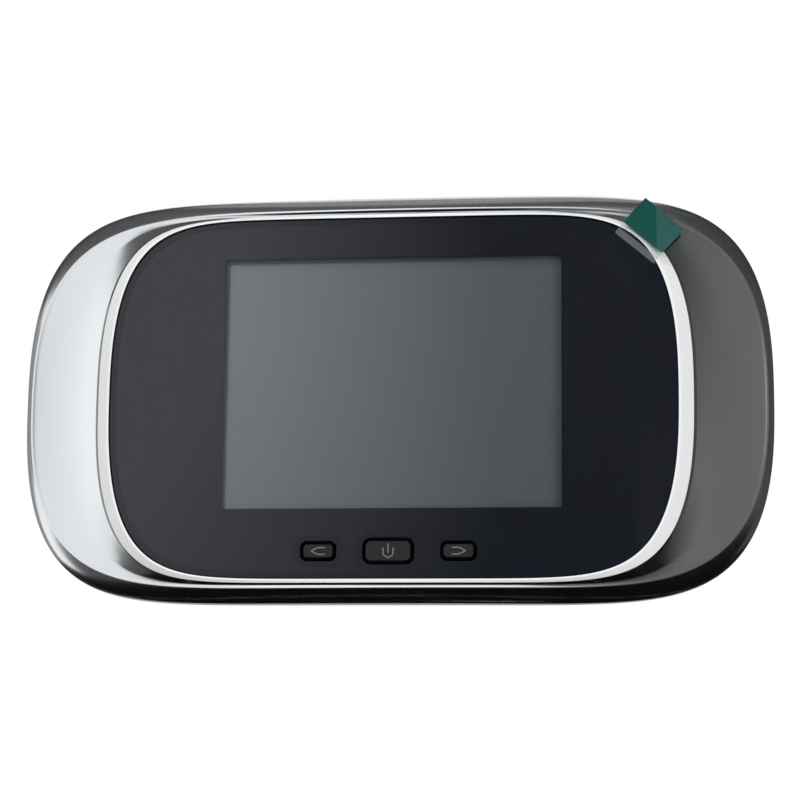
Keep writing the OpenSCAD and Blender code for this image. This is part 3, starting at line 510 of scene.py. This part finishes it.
# the loops in order, each with its hollow and groove: from the seat over rim, valley, ridge and side to
# the seam, and back inside
hoops = [(edge_hoop(0, seat_s), 0, 0), (edge_hoop(0, crest_s - lip_start), 0, 0)]
for turn in (math.radians(degrees) for degrees in (0, 30, 60, 90)):
    lip = edge_hoop(lip_out * (1 - math.cos(turn)), crest_s - lip_down * (1 - math.sin(turn)))
    hoops.append((lip, 0, 0))
rim_start = len(hoops) - 1
hoops += [(rim_top.lerp(foot, u), 0, 0) for u in (0, 0.1, 0.3, 0.5, 0.7, 0.84, 0.97)]
rim_stop = len(hoops) - 2
hoops += [(foot.lerp(valley, u), wing_hollow * math.sin(math.pi / 2 * u), groove_deep * u)
          for u in (0, 0.02, 0.06, 0.12, 0.2, 0.3, 0.4, 0.5, 0.6, 0.7, 0.8, 0.9)]
hoops += [(valley.lerp(shoulder, u), wing_hollow * math.cos(hollow_turn * u),
           groove_deep * (1 - groove_rise * u))
          for u in (0, 0.1, 0.2, 0.3, 0.4, 0.5, 0.6, 0.7, 0.8, 0.9, 1)]
roll = belly - ridge
for u in (0, 0.06, 0.12, 0.18, 0.25, 0.33, 0.41, 0.5, 0.6, 0.7, 0.8, 0.9, 1):
    out, down = 2 * u - u**2, 2 * u * (1 - u) * roll_start + u**2
    shares = (pulled(u, end_out_pulls), out, down, down, down, pulled(u, end_down_pulls), down)
    hoops.append((ridge + Vector([share * way for share, way in zip(shares, roll)]), 0, 0))
for u in (0.1, 0.25, 0.4, 0.55, 0.7, 0.85, 0.97):
    swell = math.sin(math.pi * u) * side_swell
    bulge = Vector(((body_x - seam_x) * swell, (body_z - seam_z) * swell, 0, 0, 0, 0, 0))
    hoops.append((belly.lerp(seam, u) + bulge, 0, 0))
seam_inside = Vector((seam_x - wall, seam_z - wall, *body_powers, seam_s, seam_s, 0))
wing_inside = Vector((seam_x - wall + inner_x, seam_z - wall + inner_z, *body_powers, seat_s,
                      crest_s - ridge_end_drop - wall - inner_gap, 0))
seat_outside = Vector((open_x + seat_out_x, open_z + seat_out_z, *window_powers, seat_s, seat_s, 0))
hoops += [(ring, 0, 0) for ring in (seam, seam_inside, wing_inside, seat_outside)]

# Satin chrome reflects like a brushed mirror with no direction; its haze varies a little over millimetres.
chrome = blank_finish("satin_chrome_plating")
place = add(chrome, "TexCoord")
drift = add(chrome, "TexNoise", {"Scale": 1 / (haze_drift * MM), "Detail": 2.0},
            {"Vector": place.outputs["Object"]})
haze = add(chrome, "MapRange", {"To Min": 0.15, "To Max": 0.19}, {"Value": drift.outputs["Fac"]})
skin = add(chrome, "BsdfPrincipled", {"Base Color": linear("#f0f3f6"), "Metallic": 1.0},
           {"Roughness": haze.outputs["Result"]})
add(chrome, "OutputMaterial", links={"Surface": skin.outputs["BSDF"]})

# The rim is a matt pale silver that looks the same from all sides: a painted highlight for the bright
# reflection on its slope.
rim_painted_highlight = blank_finish("pale_rim_painted_highlight")
place = add(rim_painted_highlight, "TexCoord")
rim_speckles = add(rim_painted_highlight, "TexNoise", {"Scale": 1 / (rim_speckle * MM), "Detail": 2.0},
            {"Vector": place.outputs["Object"]})
tone = add(rim_painted_highlight, "Mix", {"A": linear("#f3f5f6"), "B": linear("#f9fafb")},
           {"Factor": rim_speckles.outputs["Fac"]}, data_type="RGBA")
skin = add(rim_painted_highlight, "BsdfPrincipled", {"Roughness": 0.5}, {"Base Color": tone.outputs["Result"]})
add(rim_painted_highlight, "OutputMaterial", links={"Surface": skin.outputs["BSDF"]})

bm = bmesh.new()
turns = even_turns(body_x, body_z, *body_powers, quarter_points)
loop = [bm.verts.new(spot) for spot in hoop(*hoops[0], turns)]
edges = [bm.edges.new(pair) for pair in zip(loop, loop[1:] + loop[:1])]
for count, (ring, hollow, groove) in enumerate(hoops[1:] + hoops[:1], 1):
    # each loop is drawn out of the last one, and its points are then set in their places
    grown = bmesh.ops.extrude_edge_only(bm, edges=edges)["geom"]
    for strip in (g for g in grown if isinstance(g, bmesh.types.BMFace)):
        # the rim's loops take the second finish, the pale painted highlight
        strip.material_index = 1 if rim_start <= count <= rim_stop else 0
    drawn = {tuple(g.co): g for g in grown if isinstance(g, bmesh.types.BMVert)}
    loop = [drawn[tuple(v.co)] for v in loop]
    for v, spot in zip(loop, hoop(ring, hollow, groove, turns)):
        v.co = spot
    edges = [bm.edges.get(pair) for pair in zip(loop, loop[1:] + loop[:1])]
bmesh.ops.remove_doubles(bm, verts=bm.verts[:], dist=bezel_gap * MM)
bmesh.ops.recalc_face_normals(bm, faces=bm.faces[:])
piece("chrome_bezel", bm, "monitor", [chrome, rim_painted_highlight], ["front_bezel"], sharp=50)


# Window: an acrylic panel with openings for the keys, printed black on its back round the picture.
# Cut from cast sheet, edges polished. The printed ring is shown black through its thickness, and the
# clear rectangle over the screen is a pane of its own in it.
window_back, window_front = 19.0, 20.5
picture_x, picture_z = monitor_x + 0.1, 2.5
picture_w, picture_h = 57.6, 43.2
pane_t = 0.4
facing_back = 0.9
ink_mottle = 7

# Back-printed acrylic: an even blue-black under a mirror-smooth face.
printed = blank_finish("black_printed_acrylic")
place = add(printed, "TexCoord")
mottle = add(printed, "TexNoise", {"Scale": 1 / (ink_mottle * MM), "Detail": 3.0},
             {"Vector": place.outputs["Object"]})
tone = add(printed, "Mix", {"A": linear("#11141d"), "B": linear("#151924")},
           {"Factor": mottle.outputs["Fac"]}, data_type="RGBA")
skin = add(printed, "BsdfPrincipled", {"Roughness": 0.02, "IOR": 1.55}, {"Base Color": tone.outputs["Result"]})
add(printed, "OutputMaterial", links={"Surface": skin.outputs["BSDF"]})


def cut_picture(bm):
    """Cut a flat sheet along the four sides of the picture, and list the faces inside."""
    for axis, middle, size in ((0, picture_x, picture_w), (2, picture_z, picture_h)):
        for side in (-1, 1):
            spot, across = Vector((0, 0, 0)), Vector((0, 0, 0))
            spot[axis] = (middle + side * size / 2) * MM
            across[axis] = 1
            bmesh.ops.bisect_plane(bm, geom=bm.verts[:] + bm.edges[:] + bm.faces[:], plane_co=spot,
                                   plane_no=across)
    middles = [(f, f.calc_center_median() / MM) for f in bm.faces]
    return [f for f, m in middles
            if abs(m.x - picture_x) < picture_w / 2 and abs(m.z - picture_z) < picture_h / 2]


def thicken(bm, toward_room):
    """Give a flat sheet its thickness towards the room, with its faces outwards."""
    grown = bmesh.ops.extrude_face_region(bm, geom=bm.faces[:])["geom"]
    bmesh.ops.translate(bm, verts=[g for g in grown if isinstance(g, bmesh.types.BMVert)],
                        vec=(0, -toward_room * MM, 0))
    bmesh.ops.recalc_face_normals(bm, faces=bm.faces[:])


bm = dressed_copy("window_panel")
bmesh.ops.delete(bm, geom=[f for f in bm.faces if f.normal.y < facing_back], context="FACES")
bmesh.ops.delete(bm, geom=cut_picture(bm), context="FACES")
thicken(bm, window_front - window_back)
piece("window_printed_ring", bm, "monitor", [printed], ["window_panel"])

# Clear acrylic: light passes straight through, and each face mirrors about two hundredths of it.
acrylic = blank_finish("clear_acrylic")
gloss = add(acrylic, "Fresnel", {"IOR": 1.33})
clear = add(acrylic, "BsdfTransparent", {"Color": linear("#f4f6f7")})
mirror = add(acrylic, "BsdfGlossy", {"Roughness": 0.02})
surface = add(acrylic, "MixShader",
              links={0: gloss.outputs["Fac"], 1: clear.outputs["BSDF"], 2: mirror.outputs["BSDF"]})
add(acrylic, "OutputMaterial", links={"Surface": surface.outputs["Shader"]})
bm = bmesh.new()
bmesh.ops.create_grid(bm, x_segments=1, y_segments=1, size=0.5)
bmesh.ops.rotate(bm, verts=bm.verts[:], matrix=Matrix.Rotation(math.pi / 2, 3, "X"))
bmesh.ops.scale(bm, vec=(picture_w * MM, 1, picture_h * MM), verts=bm.verts[:])
bmesh.ops.translate(bm, vec=(picture_x * MM, -(window_front - pane_t) * MM, picture_z * MM),
                    verts=bm.verts[:])
thicken(bm, pane_t)
piece("window_clear_pane", bm, "monitor", [acrylic])


# Protective film: thin clear polyethylene that clings to the window, cut out round the keys.
# It lies flat and all but vanishes; only a trace of haze is left.
film_lift = 0.02
film_reach = 0.01

# Cling film mirrors less than the window under it, with a bluish, slightly blurred shine.
cling = blank_finish("clear_cling_film")
gloss = add(cling, "Fresnel", {"IOR": 1.22})
clear = add(cling, "BsdfTransparent")
mirror = add(cling, "BsdfGlossy", {"Color": linear("#e9f2ff"), "Roughness": 0.08})
surface = add(cling, "MixShader",
              links={0: gloss.outputs["Fac"], 1: clear.outputs["BSDF"], 2: mirror.outputs["BSDF"]})
add(cling, "OutputMaterial", links={"Surface": surface.outputs["Shader"]})
bm = dressed_copy("screen_film")
for v in bm.verts:
    # its underside is lifted a hair off the window, so that the two don't share a face
    if abs(-v.co.y - window_front * MM) < film_reach * MM:
        v.co.y = -(window_front + film_lift) * MM
piece("clinging_film", bm, "monitor", [cling], ["screen_film"])


# Pull tab: a strip that peels the film off. Its clear end is stuck on the film by the window's corner,
# climbs the rim and goes on as a green grip, creased where a thumb has bent it.
# Cut from polyester film, half of it dyed; the bend over the rim has turned milky.
tab_foot = (42.16, 25.94)
tab_turn = math.radians(49.5)
tab_half_w, tab_t = 4.25, 0.15
tab_stuck, tab_free, tab_climb = 7.4, 6.5, 1.6
tab_green_from = 0.75
tab_over_rim = 0.1
film_s = 20.6
crease_top, crease_foot = Vector((6.1, 1.64)), Vector((0.75, -3.08))
crease_rise = 0.12
milky_from, milky_to = -1.5, -0.4
grip_rows, clear_rows, tab_columns = 24, 80, 24
dye_drift = 3
milky_streak = 1.5


def beyond_crease(d, w):
    """How far a place on the tab is past the crease, towards the grip's right corner."""
    along = (crease_foot - crease_top).normalized()
    return (Vector((d, w)) - crease_top).dot(Vector((-along.y, along.x)))


def tab_standoff(d, w):
    """Standoff of the tab's underside at a distance along it from the rim's crest."""
    low, high = film_s + film_lift, crest_s + tab_over_rim
    if d < -tab_climb:
        return low
    if d < 0:
        return low + (high - low) * (1 - math.cos(math.pi * (d + tab_climb) / tab_climb)) / 2
    return high - (d / tab_free) ** 2 - crease_rise * max(beyond_crease(d, w), 0) * (d > tab_green_from)


def tab_strip(name, start, stop, rows, materials, second, replaced=()):
    """One end of the tab; where second holds of a place along and across it, its second finish shows."""
    bm = bmesh.new()
    bmesh.ops.create_grid(bm, x_segments=rows, y_segments=tab_columns, size=1.0)
    bmesh.ops.scale(bm, verts=bm.verts[:], vec=((stop - start) / 2, tab_half_w, 1))
    bmesh.ops.translate(bm, verts=bm.verts[:], vec=((start + stop) / 2, 0, 0))
    bmesh.ops.bisect_plane(bm, geom=bm.verts[:] + bm.edges[:] + bm.faces[:], plane_co=(*crease_top, 0),
                           plane_no=((crease_top - crease_foot).y, (crease_foot - crease_top).x, 0))
    for face in bm.faces:
        face.material_index = int(second(*face.calc_center_median().xy))
    for v in bm.verts:
        d, w = v.co.xy
        x = tab_foot[0] + d * math.cos(tab_turn) - w * math.sin(tab_turn)
        z = tab_foot[1] + d * math.sin(tab_turn) + w * math.cos(tab_turn)
        v.co = Vector((monitor_x + x, -tab_standoff(d, w), z)) * MM
    thicken(bm, tab_t)
    piece(name, bm, "monitor", materials, replaced, sharp=50)


# Tinted polyester: smooth and glossy, dyed blue-green. The facet past the crease gets a paler copy of it, a
# painted highlight where that facet tilts to the light.
green = blank_finish("green_polyester")
painted_highlight_green = blank_finish("polyester_painted_highlight")
for dyed, dark, light in ((green, "#0e4741", "#144f4a"), (painted_highlight_green, "#2b5451", "#345e5c")):
    place = add(dyed, "TexCoord")
    drift = add(dyed, "TexNoise", {"Scale": 1 / (dye_drift * MM), "Detail": 2.0},
                {"Vector": place.outputs["Object"]})
    tone = add(dyed, "Mix", {"A": linear(dark), "B": linear(light)}, {"Factor": drift.outputs["Fac"]},
               data_type="RGBA")
    skin = add(dyed, "BsdfPrincipled", {"Roughness": 0.32, "IOR": 1.57, "Specular IOR Level": 0.15},
               {"Base Color": tone.outputs["Result"]})
    add(dyed, "OutputMaterial", links={"Surface": skin.outputs["BSDF"]})
# the facet past the crease takes the paler copy, a painted highlight
tab_strip("pull_tab_grip", tab_green_from, tab_free, grip_rows, [green, painted_highlight_green],
          lambda d, w: beyond_crease(d, w) > 0, ["film_pull_tab"])

# Its clear end is the same polyester undyed: it vanishes where it lies flat, apart from a faint shine.
clear_tab = blank_finish("clear_polyester")
gloss = add(clear_tab, "Fresnel", {"IOR": 1.3})
clear = add(clear_tab, "BsdfTransparent", {"Color": linear("#fcfefd")})
mirror = add(clear_tab, "BsdfGlossy", {"Roughness": 0.1})
surface = add(clear_tab, "MixShader",
              links={0: gloss.outputs["Fac"], 1: clear.outputs["BSDF"], 2: mirror.outputs["BSDF"]})
add(clear_tab, "OutputMaterial", links={"Surface": surface.outputs["Shader"]})

# Bent over the rim it is strained, and a milky streaked haze shows there.
milky = blank_finish("strained_polyester")
place = add(milky, "TexCoord")
streaks = add(milky, "TexNoise", {"Scale": 1 / (milky_streak * MM), "Detail": 3.0},
              {"Vector": place.outputs["Object"]})
haze = add(milky, "MapRange", {"To Min": 0.08, "To Max": 0.22}, {"Value": streaks.outputs["Fac"]})
skin = add(milky, "BsdfPrincipled", {"Base Color": linear("#b4babd"), "Roughness": 0.25},
           {"Alpha": haze.outputs["Result"]})
add(milky, "OutputMaterial", links={"Surface": skin.outputs["BSDF"]})
tab_strip("pull_tab_clear_end", -tab_stuck, tab_green_from, clear_rows, [clear_tab, milky],
          lambda d, w: milky_from < d < milky_to)


# Keys: back, power and next, three bevelled caps that stand in the window's openings.
# Moulded black ABS with a smooth matt top, each with its sign printed in grey.
key_row, key_front = -26.3, 20.65
key_pitch = 11.8
key_round, key_sharp = 0.06, 25
facing_room = -0.95
stroke_w, stroke_t, stroke_gap = 0.17, 0.015, 0.005
stroke_corner = 0.5
top_grain = 0.2
edge_drift = 1.2
ink_wear = 0.3

# The top's matt grain is very fine: a soft dark grey without any highlight of its own.
key_abs = blank_finish("smooth_black_abs")
place = add(key_abs, "TexCoord")
grain = add(key_abs, "TexNoise", {"Scale": 1 / (top_grain * MM), "Detail": 2.0},
            {"Vector": place.outputs["Object"]})
haze = add(key_abs, "MapRange", {"To Min": 0.38, "To Max": 0.5}, {"Value": grain.outputs["Fac"]})
tone = add(key_abs, "Mix", {"A": linear("#1e1e20"), "B": linear("#242426")},
           {"Factor": grain.outputs["Fac"]}, data_type="RGBA")
skin = add(key_abs, "BsdfPrincipled", {"IOR": 1.53},
           {"Base Color": tone.outputs["Result"], "Roughness": haze.outputs["Result"]})
add(key_abs, "OutputMaterial", links={"Surface": skin.outputs["BSDF"]})

# The bevels are polished in the mould, and their base is darker than the top's: painted shade, a deep black
# that frames each top.
key_bevel_painted_shade = blank_finish("polished_abs_painted_shade")
place = add(key_bevel_painted_shade, "TexCoord")
drift = add(key_bevel_painted_shade, "TexNoise", {"Scale": 1 / (edge_drift * MM), "Detail": 1.0},
            {"Vector": place.outputs["Object"]})
haze = add(key_bevel_painted_shade, "MapRange", {"To Min": 0.12, "To Max": 0.18}, {"Value": drift.outputs["Fac"]})
skin = add(key_bevel_painted_shade, "BsdfPrincipled", {"Base Color": linear("#050506"), "IOR": 1.45},
           {"Roughness": haze.outputs["Result"]})
add(key_bevel_painted_shade, "OutputMaterial", links={"Surface": skin.outputs["BSDF"]})

# Screen-printed ink lies on the top as a dull grey, a little uneven where it has worn.
grey_ink = blank_finish("grey_key_print")
place = add(grey_ink, "TexCoord")
wear = add(grey_ink, "TexNoise", {"Scale": 1 / (ink_wear * MM), "Detail": 2.0},
           {"Vector": place.outputs["Object"]})
tone = add(grey_ink, "Mix", {"A": linear("#68696b"), "B": linear("#8c8d8f")},
           {"Factor": wear.outputs["Fac"]}, data_type="RGBA")
skin = add(grey_ink, "BsdfPrincipled", {"Roughness": 0.55}, {"Base Color": tone.outputs["Result"]})
add(grey_ink, "OutputMaterial", links={"Surface": skin.outputs["BSDF"]})


def print_stroke(bm, points, middle):
    """A printed line on a key's top: its two edges are bridged to a ribbon and given a thickness."""
    chain = [Vector(p) for p in points]
    sides = []
    for side in (-1, 1):
        row = []
        for k, p in enumerate(chain):
            ahead = (chain[k + 1] - p).normalized() if k + 1 < len(chain) else None
            behind = (p - chain[k - 1]).normalized() if k else None
            lean = ((ahead or behind) + (behind or ahead)).normalized()
            out = Vector((-lean.y, lean.x)) * stroke_w / 2 / max(lean.dot(ahead or behind), stroke_corner)
            x, z = p + side * out
            row.append(bm.verts.new(((monitor_x + middle + x) * MM, -(key_front + stroke_gap) * MM,
                                     (key_row + z) * MM)))
        sides.append([bm.edges.new(pair) for pair in zip(row, row[1:])])
    faces = bmesh.ops.bridge_loops(bm, edges=sides[0] + sides[1])["faces"]
    grown = bmesh.ops.extrude_face_region(bm, geom=faces)["geom"]
    bmesh.ops.translate(bm, verts=[g for g in grown if isinstance(g, bmesh.types.BMVert)],
                        vec=(0, -stroke_t * MM, 0))


# places along each stroke, across and up from the key's middle
hook_sign = [(1.15, 0.56), (0.1, 0.56), (-0.3, 0.46), (-0.75, 0.24), (-1.12, 0.0), (-0.75, -0.24),
             (-0.3, -0.46), (0.1, -0.56), (1.15, -0.56)]
power_sign = [[(-0.85, 0.55), (-0.85, -0.35), (-0.7, -0.75), (0.0, -1.15), (0.7, -0.75), (0.85, -0.35),
               (0.85, 0.55)], [(0.0, 1.2), (0.0, -0.35)]]
signs = {"back": (-key_pitch, [hook_sign]), "power": (0.0, power_sign),
         "next": (key_pitch, [[(-x, z) for x, z in hook_sign]])}
for name, (middle, strokes) in signs.items():
    key = name + "_key"
    bm = dressed_copy(key, key_round, sharp=key_sharp)
    bm.normal_update()
    for face in bm.faces:
        # faces that don't face the room take the darker bevel finish, painted shade round each top
        face.material_index = 0 if face.normal.y < facing_room else 1
    piece(key + "_cap", bm, key, [key_abs, key_bevel_painted_shade], [key], level=True)
    bm = bmesh.new()
    for stroke in strokes:
        print_stroke(bm, stroke, middle)
    bmesh.ops.recalc_face_normals(bm, faces=bm.faces[:])
    piece(key + "_sign", bm, key, [grey_ink])


# Studio floor: pale and plain, far enough below the object to stay out of the photograph's view.
# Reflections don't see it, since the cards of the next section stand in for it there.
floor_half, floor_z = 10.0, -1.0
pale = blank_finish("pale_floor")
skin = add(pale, "BsdfPrincipled", {"Base Color": linear("#f1f1ef"), "Roughness": 0.8})
add(pale, "OutputMaterial", links={"Surface": skin.outputs["BSDF"]})
bm = bmesh.new()
bmesh.ops.create_grid(bm, x_segments=2, y_segments=2, size=floor_half,
                      matrix=Matrix.Translation((0, 0, floor_z)))
ground = new_object("studio_floor", bm, [pale])
ground.visible_glossy = False


# Studio cards: each is a patch of a dome round the object, given by its azimuths from the front towards
# the right, its elevations and its grey. Only reflections see them, and they give the chrome and the
# window their dark sides. What they leave open is white, above all a field at the upper left of the front.
dome_r = 0.95
card_columns, card_rows = 24, 12
cards = {
    "right_high": (28, 60, 26, 52, 0.05),
    "right_top": (15, 28, 26, 52, 0.2),
    "middle_right_top": (3, 15, 21, 52, 0.8),
    "middle_top": (-5, 3, 21, 52, 0.95),
    "right_lower": (3, 60, -22, -9, 0.005),
    "front_high": (-68, 60, 52, 72, 0.08),
    "middle_lower": (-24, 3, -22, -4, 0.005),
    "left_lower": (-50, -24, -22, -6, 0.06),
    "left_high": (-68, -27, 23, 52, 0.08),
    "front_low": (-68, 60, -60, -22, 0.003),
    "left_side": (-118, -68, -25, 22, 0.27),
    "left_side_low": (-118, -68, -60, -25, 0.02),
    "left_side_high": (-150, -68, 22, 72, 0.06),
    "right_side": (50, 125, -22, 26, 0.06),
    "right_side_low": (60, 125, -60, -22, 0.01),
    "right_side_high": (60, 150, 26, 72, 0.04),
    "behind_left": (-180, -118, -10, 22, 0.2),
    "behind_right": (125, 180, -10, 26, 0.04),
    "behind_left_low": (-180, -118, -60, -10, 0.4),
    "behind_right_low": (125, 180, -60, -10, 0.4),
    "behind_left_high": (-180, -150, 22, 72, 0.75),
    "behind_right_high": (150, 180, 26, 72, 0.75),
    "under": (-180, 180, -89, -60, 0.003),
    "over": (-180, 180, 72, 89, 0.25),
}
graded_span = (-68, 3, -4, 21)
right_span, middle_right_span = (15, 50, -9, 26), (3, 15, -9, 21)


def dome_patch(name, span, material):
    """A card bent to the dome, which only reflections see."""
    start, stop, low, high = span
    bm = bmesh.new()
    bmesh.ops.create_grid(bm, x_segments=card_columns, y_segments=card_rows, size=0.5)
    for v in bm.verts:
        az = math.radians(start + (stop - start) * (v.co.x + 0.5))
        el = math.radians(low + (high - low) * (v.co.y + 0.5))
        v.co = Vector((math.sin(az) * math.cos(el), -math.cos(az) * math.cos(el), math.sin(el))) * dome_r
    made = new_object(name, bm, [material])
    made.visible_camera = False
    made.visible_diffuse = False
    made.visible_transmission = False
    made.visible_shadow = False


def dome_height(elevation):
    """How high the dome stands at an elevation."""
    return dome_r * math.sin(math.radians(elevation))


for name, (*span, grey) in cards.items():
    paper = blank_finish(name + "_card")
    glow = add(paper, "Emission", {"Color": (grey, grey, grey, 1), "Strength": 1.0})
    add(paper, "OutputMaterial", links={"Surface": glow.outputs["Emission"]})
    paper.cycles.emission_sampling = "NONE"
    dome_patch(name + "_card", span, paper)

# One card falls off from light at the left to dark at the right, and its dark end is dimmer below.
across = blank_finish("graded_card")
place = add(across, "TexCoord")
parts = add(across, "SeparateXYZ", links={"Vector": place.outputs["Object"]})
front = add(across, "Math", {1: -1.0}, {0: parts.outputs["Y"]}, operation="MULTIPLY")
azimuth = add(across, "Math", links={0: parts.outputs["X"], 1: front.outputs["Value"]}, operation="ARCTAN2")
soft = add(across, "MapRange", {"From Min": math.radians(-58), "From Max": math.radians(-15),
                                "To Min": 1.0, "To Max": 0.8}, {"Value": azimuth.outputs["Value"]})
steep = add(across, "MapRange", {"From Min": math.radians(-23), "From Max": math.radians(-2),
                                 "To Min": 1.6, "To Max": 0.13}, {"Value": azimuth.outputs["Value"]})
dim = add(across, "MapRange", {"From Min": 0.0, "From Max": dome_height(12), "To Min": 0.55, "To Max": 1.0},
          {"Value": parts.outputs["Z"]})
dimmed = add(across, "Math", links={0: steep.outputs["Result"], 1: dim.outputs["Result"]},
             operation="MULTIPLY")
fall = add(across, "Math", links={0: soft.outputs["Result"], 1: dimmed.outputs["Value"]},
           operation="MINIMUM")

# Two cards at the right are dark at foot and top, and lightest a little above the horizon.
peak_at, peak_grey = dome_height(4), 0.165
upward = blank_finish("right_card")
place = add(upward, "TexCoord")
parts = add(upward, "SeparateXYZ", links={"Vector": place.outputs["Object"]})
rising = add(upward, "MapRange", {"From Min": dome_height(-9), "From Max": peak_at, "To Min": 0.02,
                                  "To Max": peak_grey}, {"Value": parts.outputs["Z"]})
falling = add(upward, "MapRange", {"From Min": peak_at, "From Max": dome_height(26), "To Min": peak_grey,
                                   "To Max": 0.04}, {"Value": parts.outputs["Z"]})
hill = add(upward, "Math", links={0: rising.outputs["Result"], 1: falling.outputs["Result"]},
           operation="MINIMUM")
for paper, grey in ((across, fall), (upward, hill)):
    glow = add(paper, "Emission", {"Strength": 1.0}, {"Color": grey.outputs["Value"]})
    add(paper, "OutputMaterial", links={"Surface": glow.outputs["Emission"]})
    paper.cycles.emission_sampling = "NONE"
dome_patch("graded_card", graded_span, across)
dome_patch("right_card", right_span, upward)
dome_patch("middle_right_card", middle_right_span, upward)


# Lamps: one from the upper left, a fill from the right for the rim, and one behind for the back's view.
# All are soft square panels that reflections don't see; the world adds an even white light.
lamp_side = 0.6
lamps = {
    "soft_lamp": ((-0.45, -0.75, 0.75), 5.0),
    "fill_lamp": ((0.65, -0.85, -0.1), 3.7),
    "back_lamp": ((0.35, 0.9, 0.55), 6.0),
}
for name, (spot, watts) in lamps.items():
    lamp = bpy.data.lights.new(name, "AREA")
    lamp.shape = "RECTANGLE"
    lamp.size, lamp.size_y = lamp_side, lamp_side
    lamp.energy = watts
    stand = bpy.data.objects.new(name, lamp)
    bpy.context.scene.collection.objects.link(stand)
    stand.location = spot
    aim = Vector((monitor_x * MM, 0, 0)) - stand.location
    stand.rotation_euler = aim.to_track_quat("-Z", "Y").to_euler()
    stand.visible_glossy = False

# the background is white to the camera, to reflections and through clear pieces, and dimmer as light
world = bpy.data.worlds.new("white_studio")
bpy.context.scene.world = world
world.use_nodes = True
world.node_tree.nodes.clear()
path = add(world, "LightPath")
direct = add(world, "Math", links={0: path.outputs["Is Camera Ray"], 1: path.outputs["Is Glossy Ray"]},
             operation="MAXIMUM")
seen = add(world, "Math", links={0: direct.outputs["Value"], 1: path.outputs["Is Transmission Ray"]},
           operation="MAXIMUM")
white = add(world, "MapRange", {"To Min": 0.55, "To Max": 1.0}, {"Value": seen.outputs["Value"]})
sky = add(world, "Background", {"Color": (1, 1, 1, 1)}, {"Strength": white.outputs["Result"]})
add(world, "OutputWorld", links={"Surface": sky.outputs["Background"]})


# Camera: below and to the right of the monitor's middle, looking a little up and left, as in the
# photograph. Its place is in metres, and its turn from the straight view is one angle about one axis.
camera_place = (0.0721, -0.399, -0.0705)
camera_turn = Vector((math.radians(-10.39), math.radians(-6.91), 0))
lens = bpy.data.cameras.new("photo_camera")
lens.lens = 103.5
lens.sensor_width = 36
lens.clip_start = 0.01
camera = bpy.data.objects.new("photo_camera", lens)
bpy.context.scene.collection.objects.link(camera)
rows = Matrix.Rotation(camera_turn.length, 3, camera_turn.normalized())
axes = Matrix([(r[0], -r[2], r[1]) for r in rows]).transposed()
camera.matrix_world = Matrix.Translation(camera_place) @ axes.to_4x4()
bpy.context.scene.camera = camera
bpy.context.scene.view_settings.view_transform = "Standard"
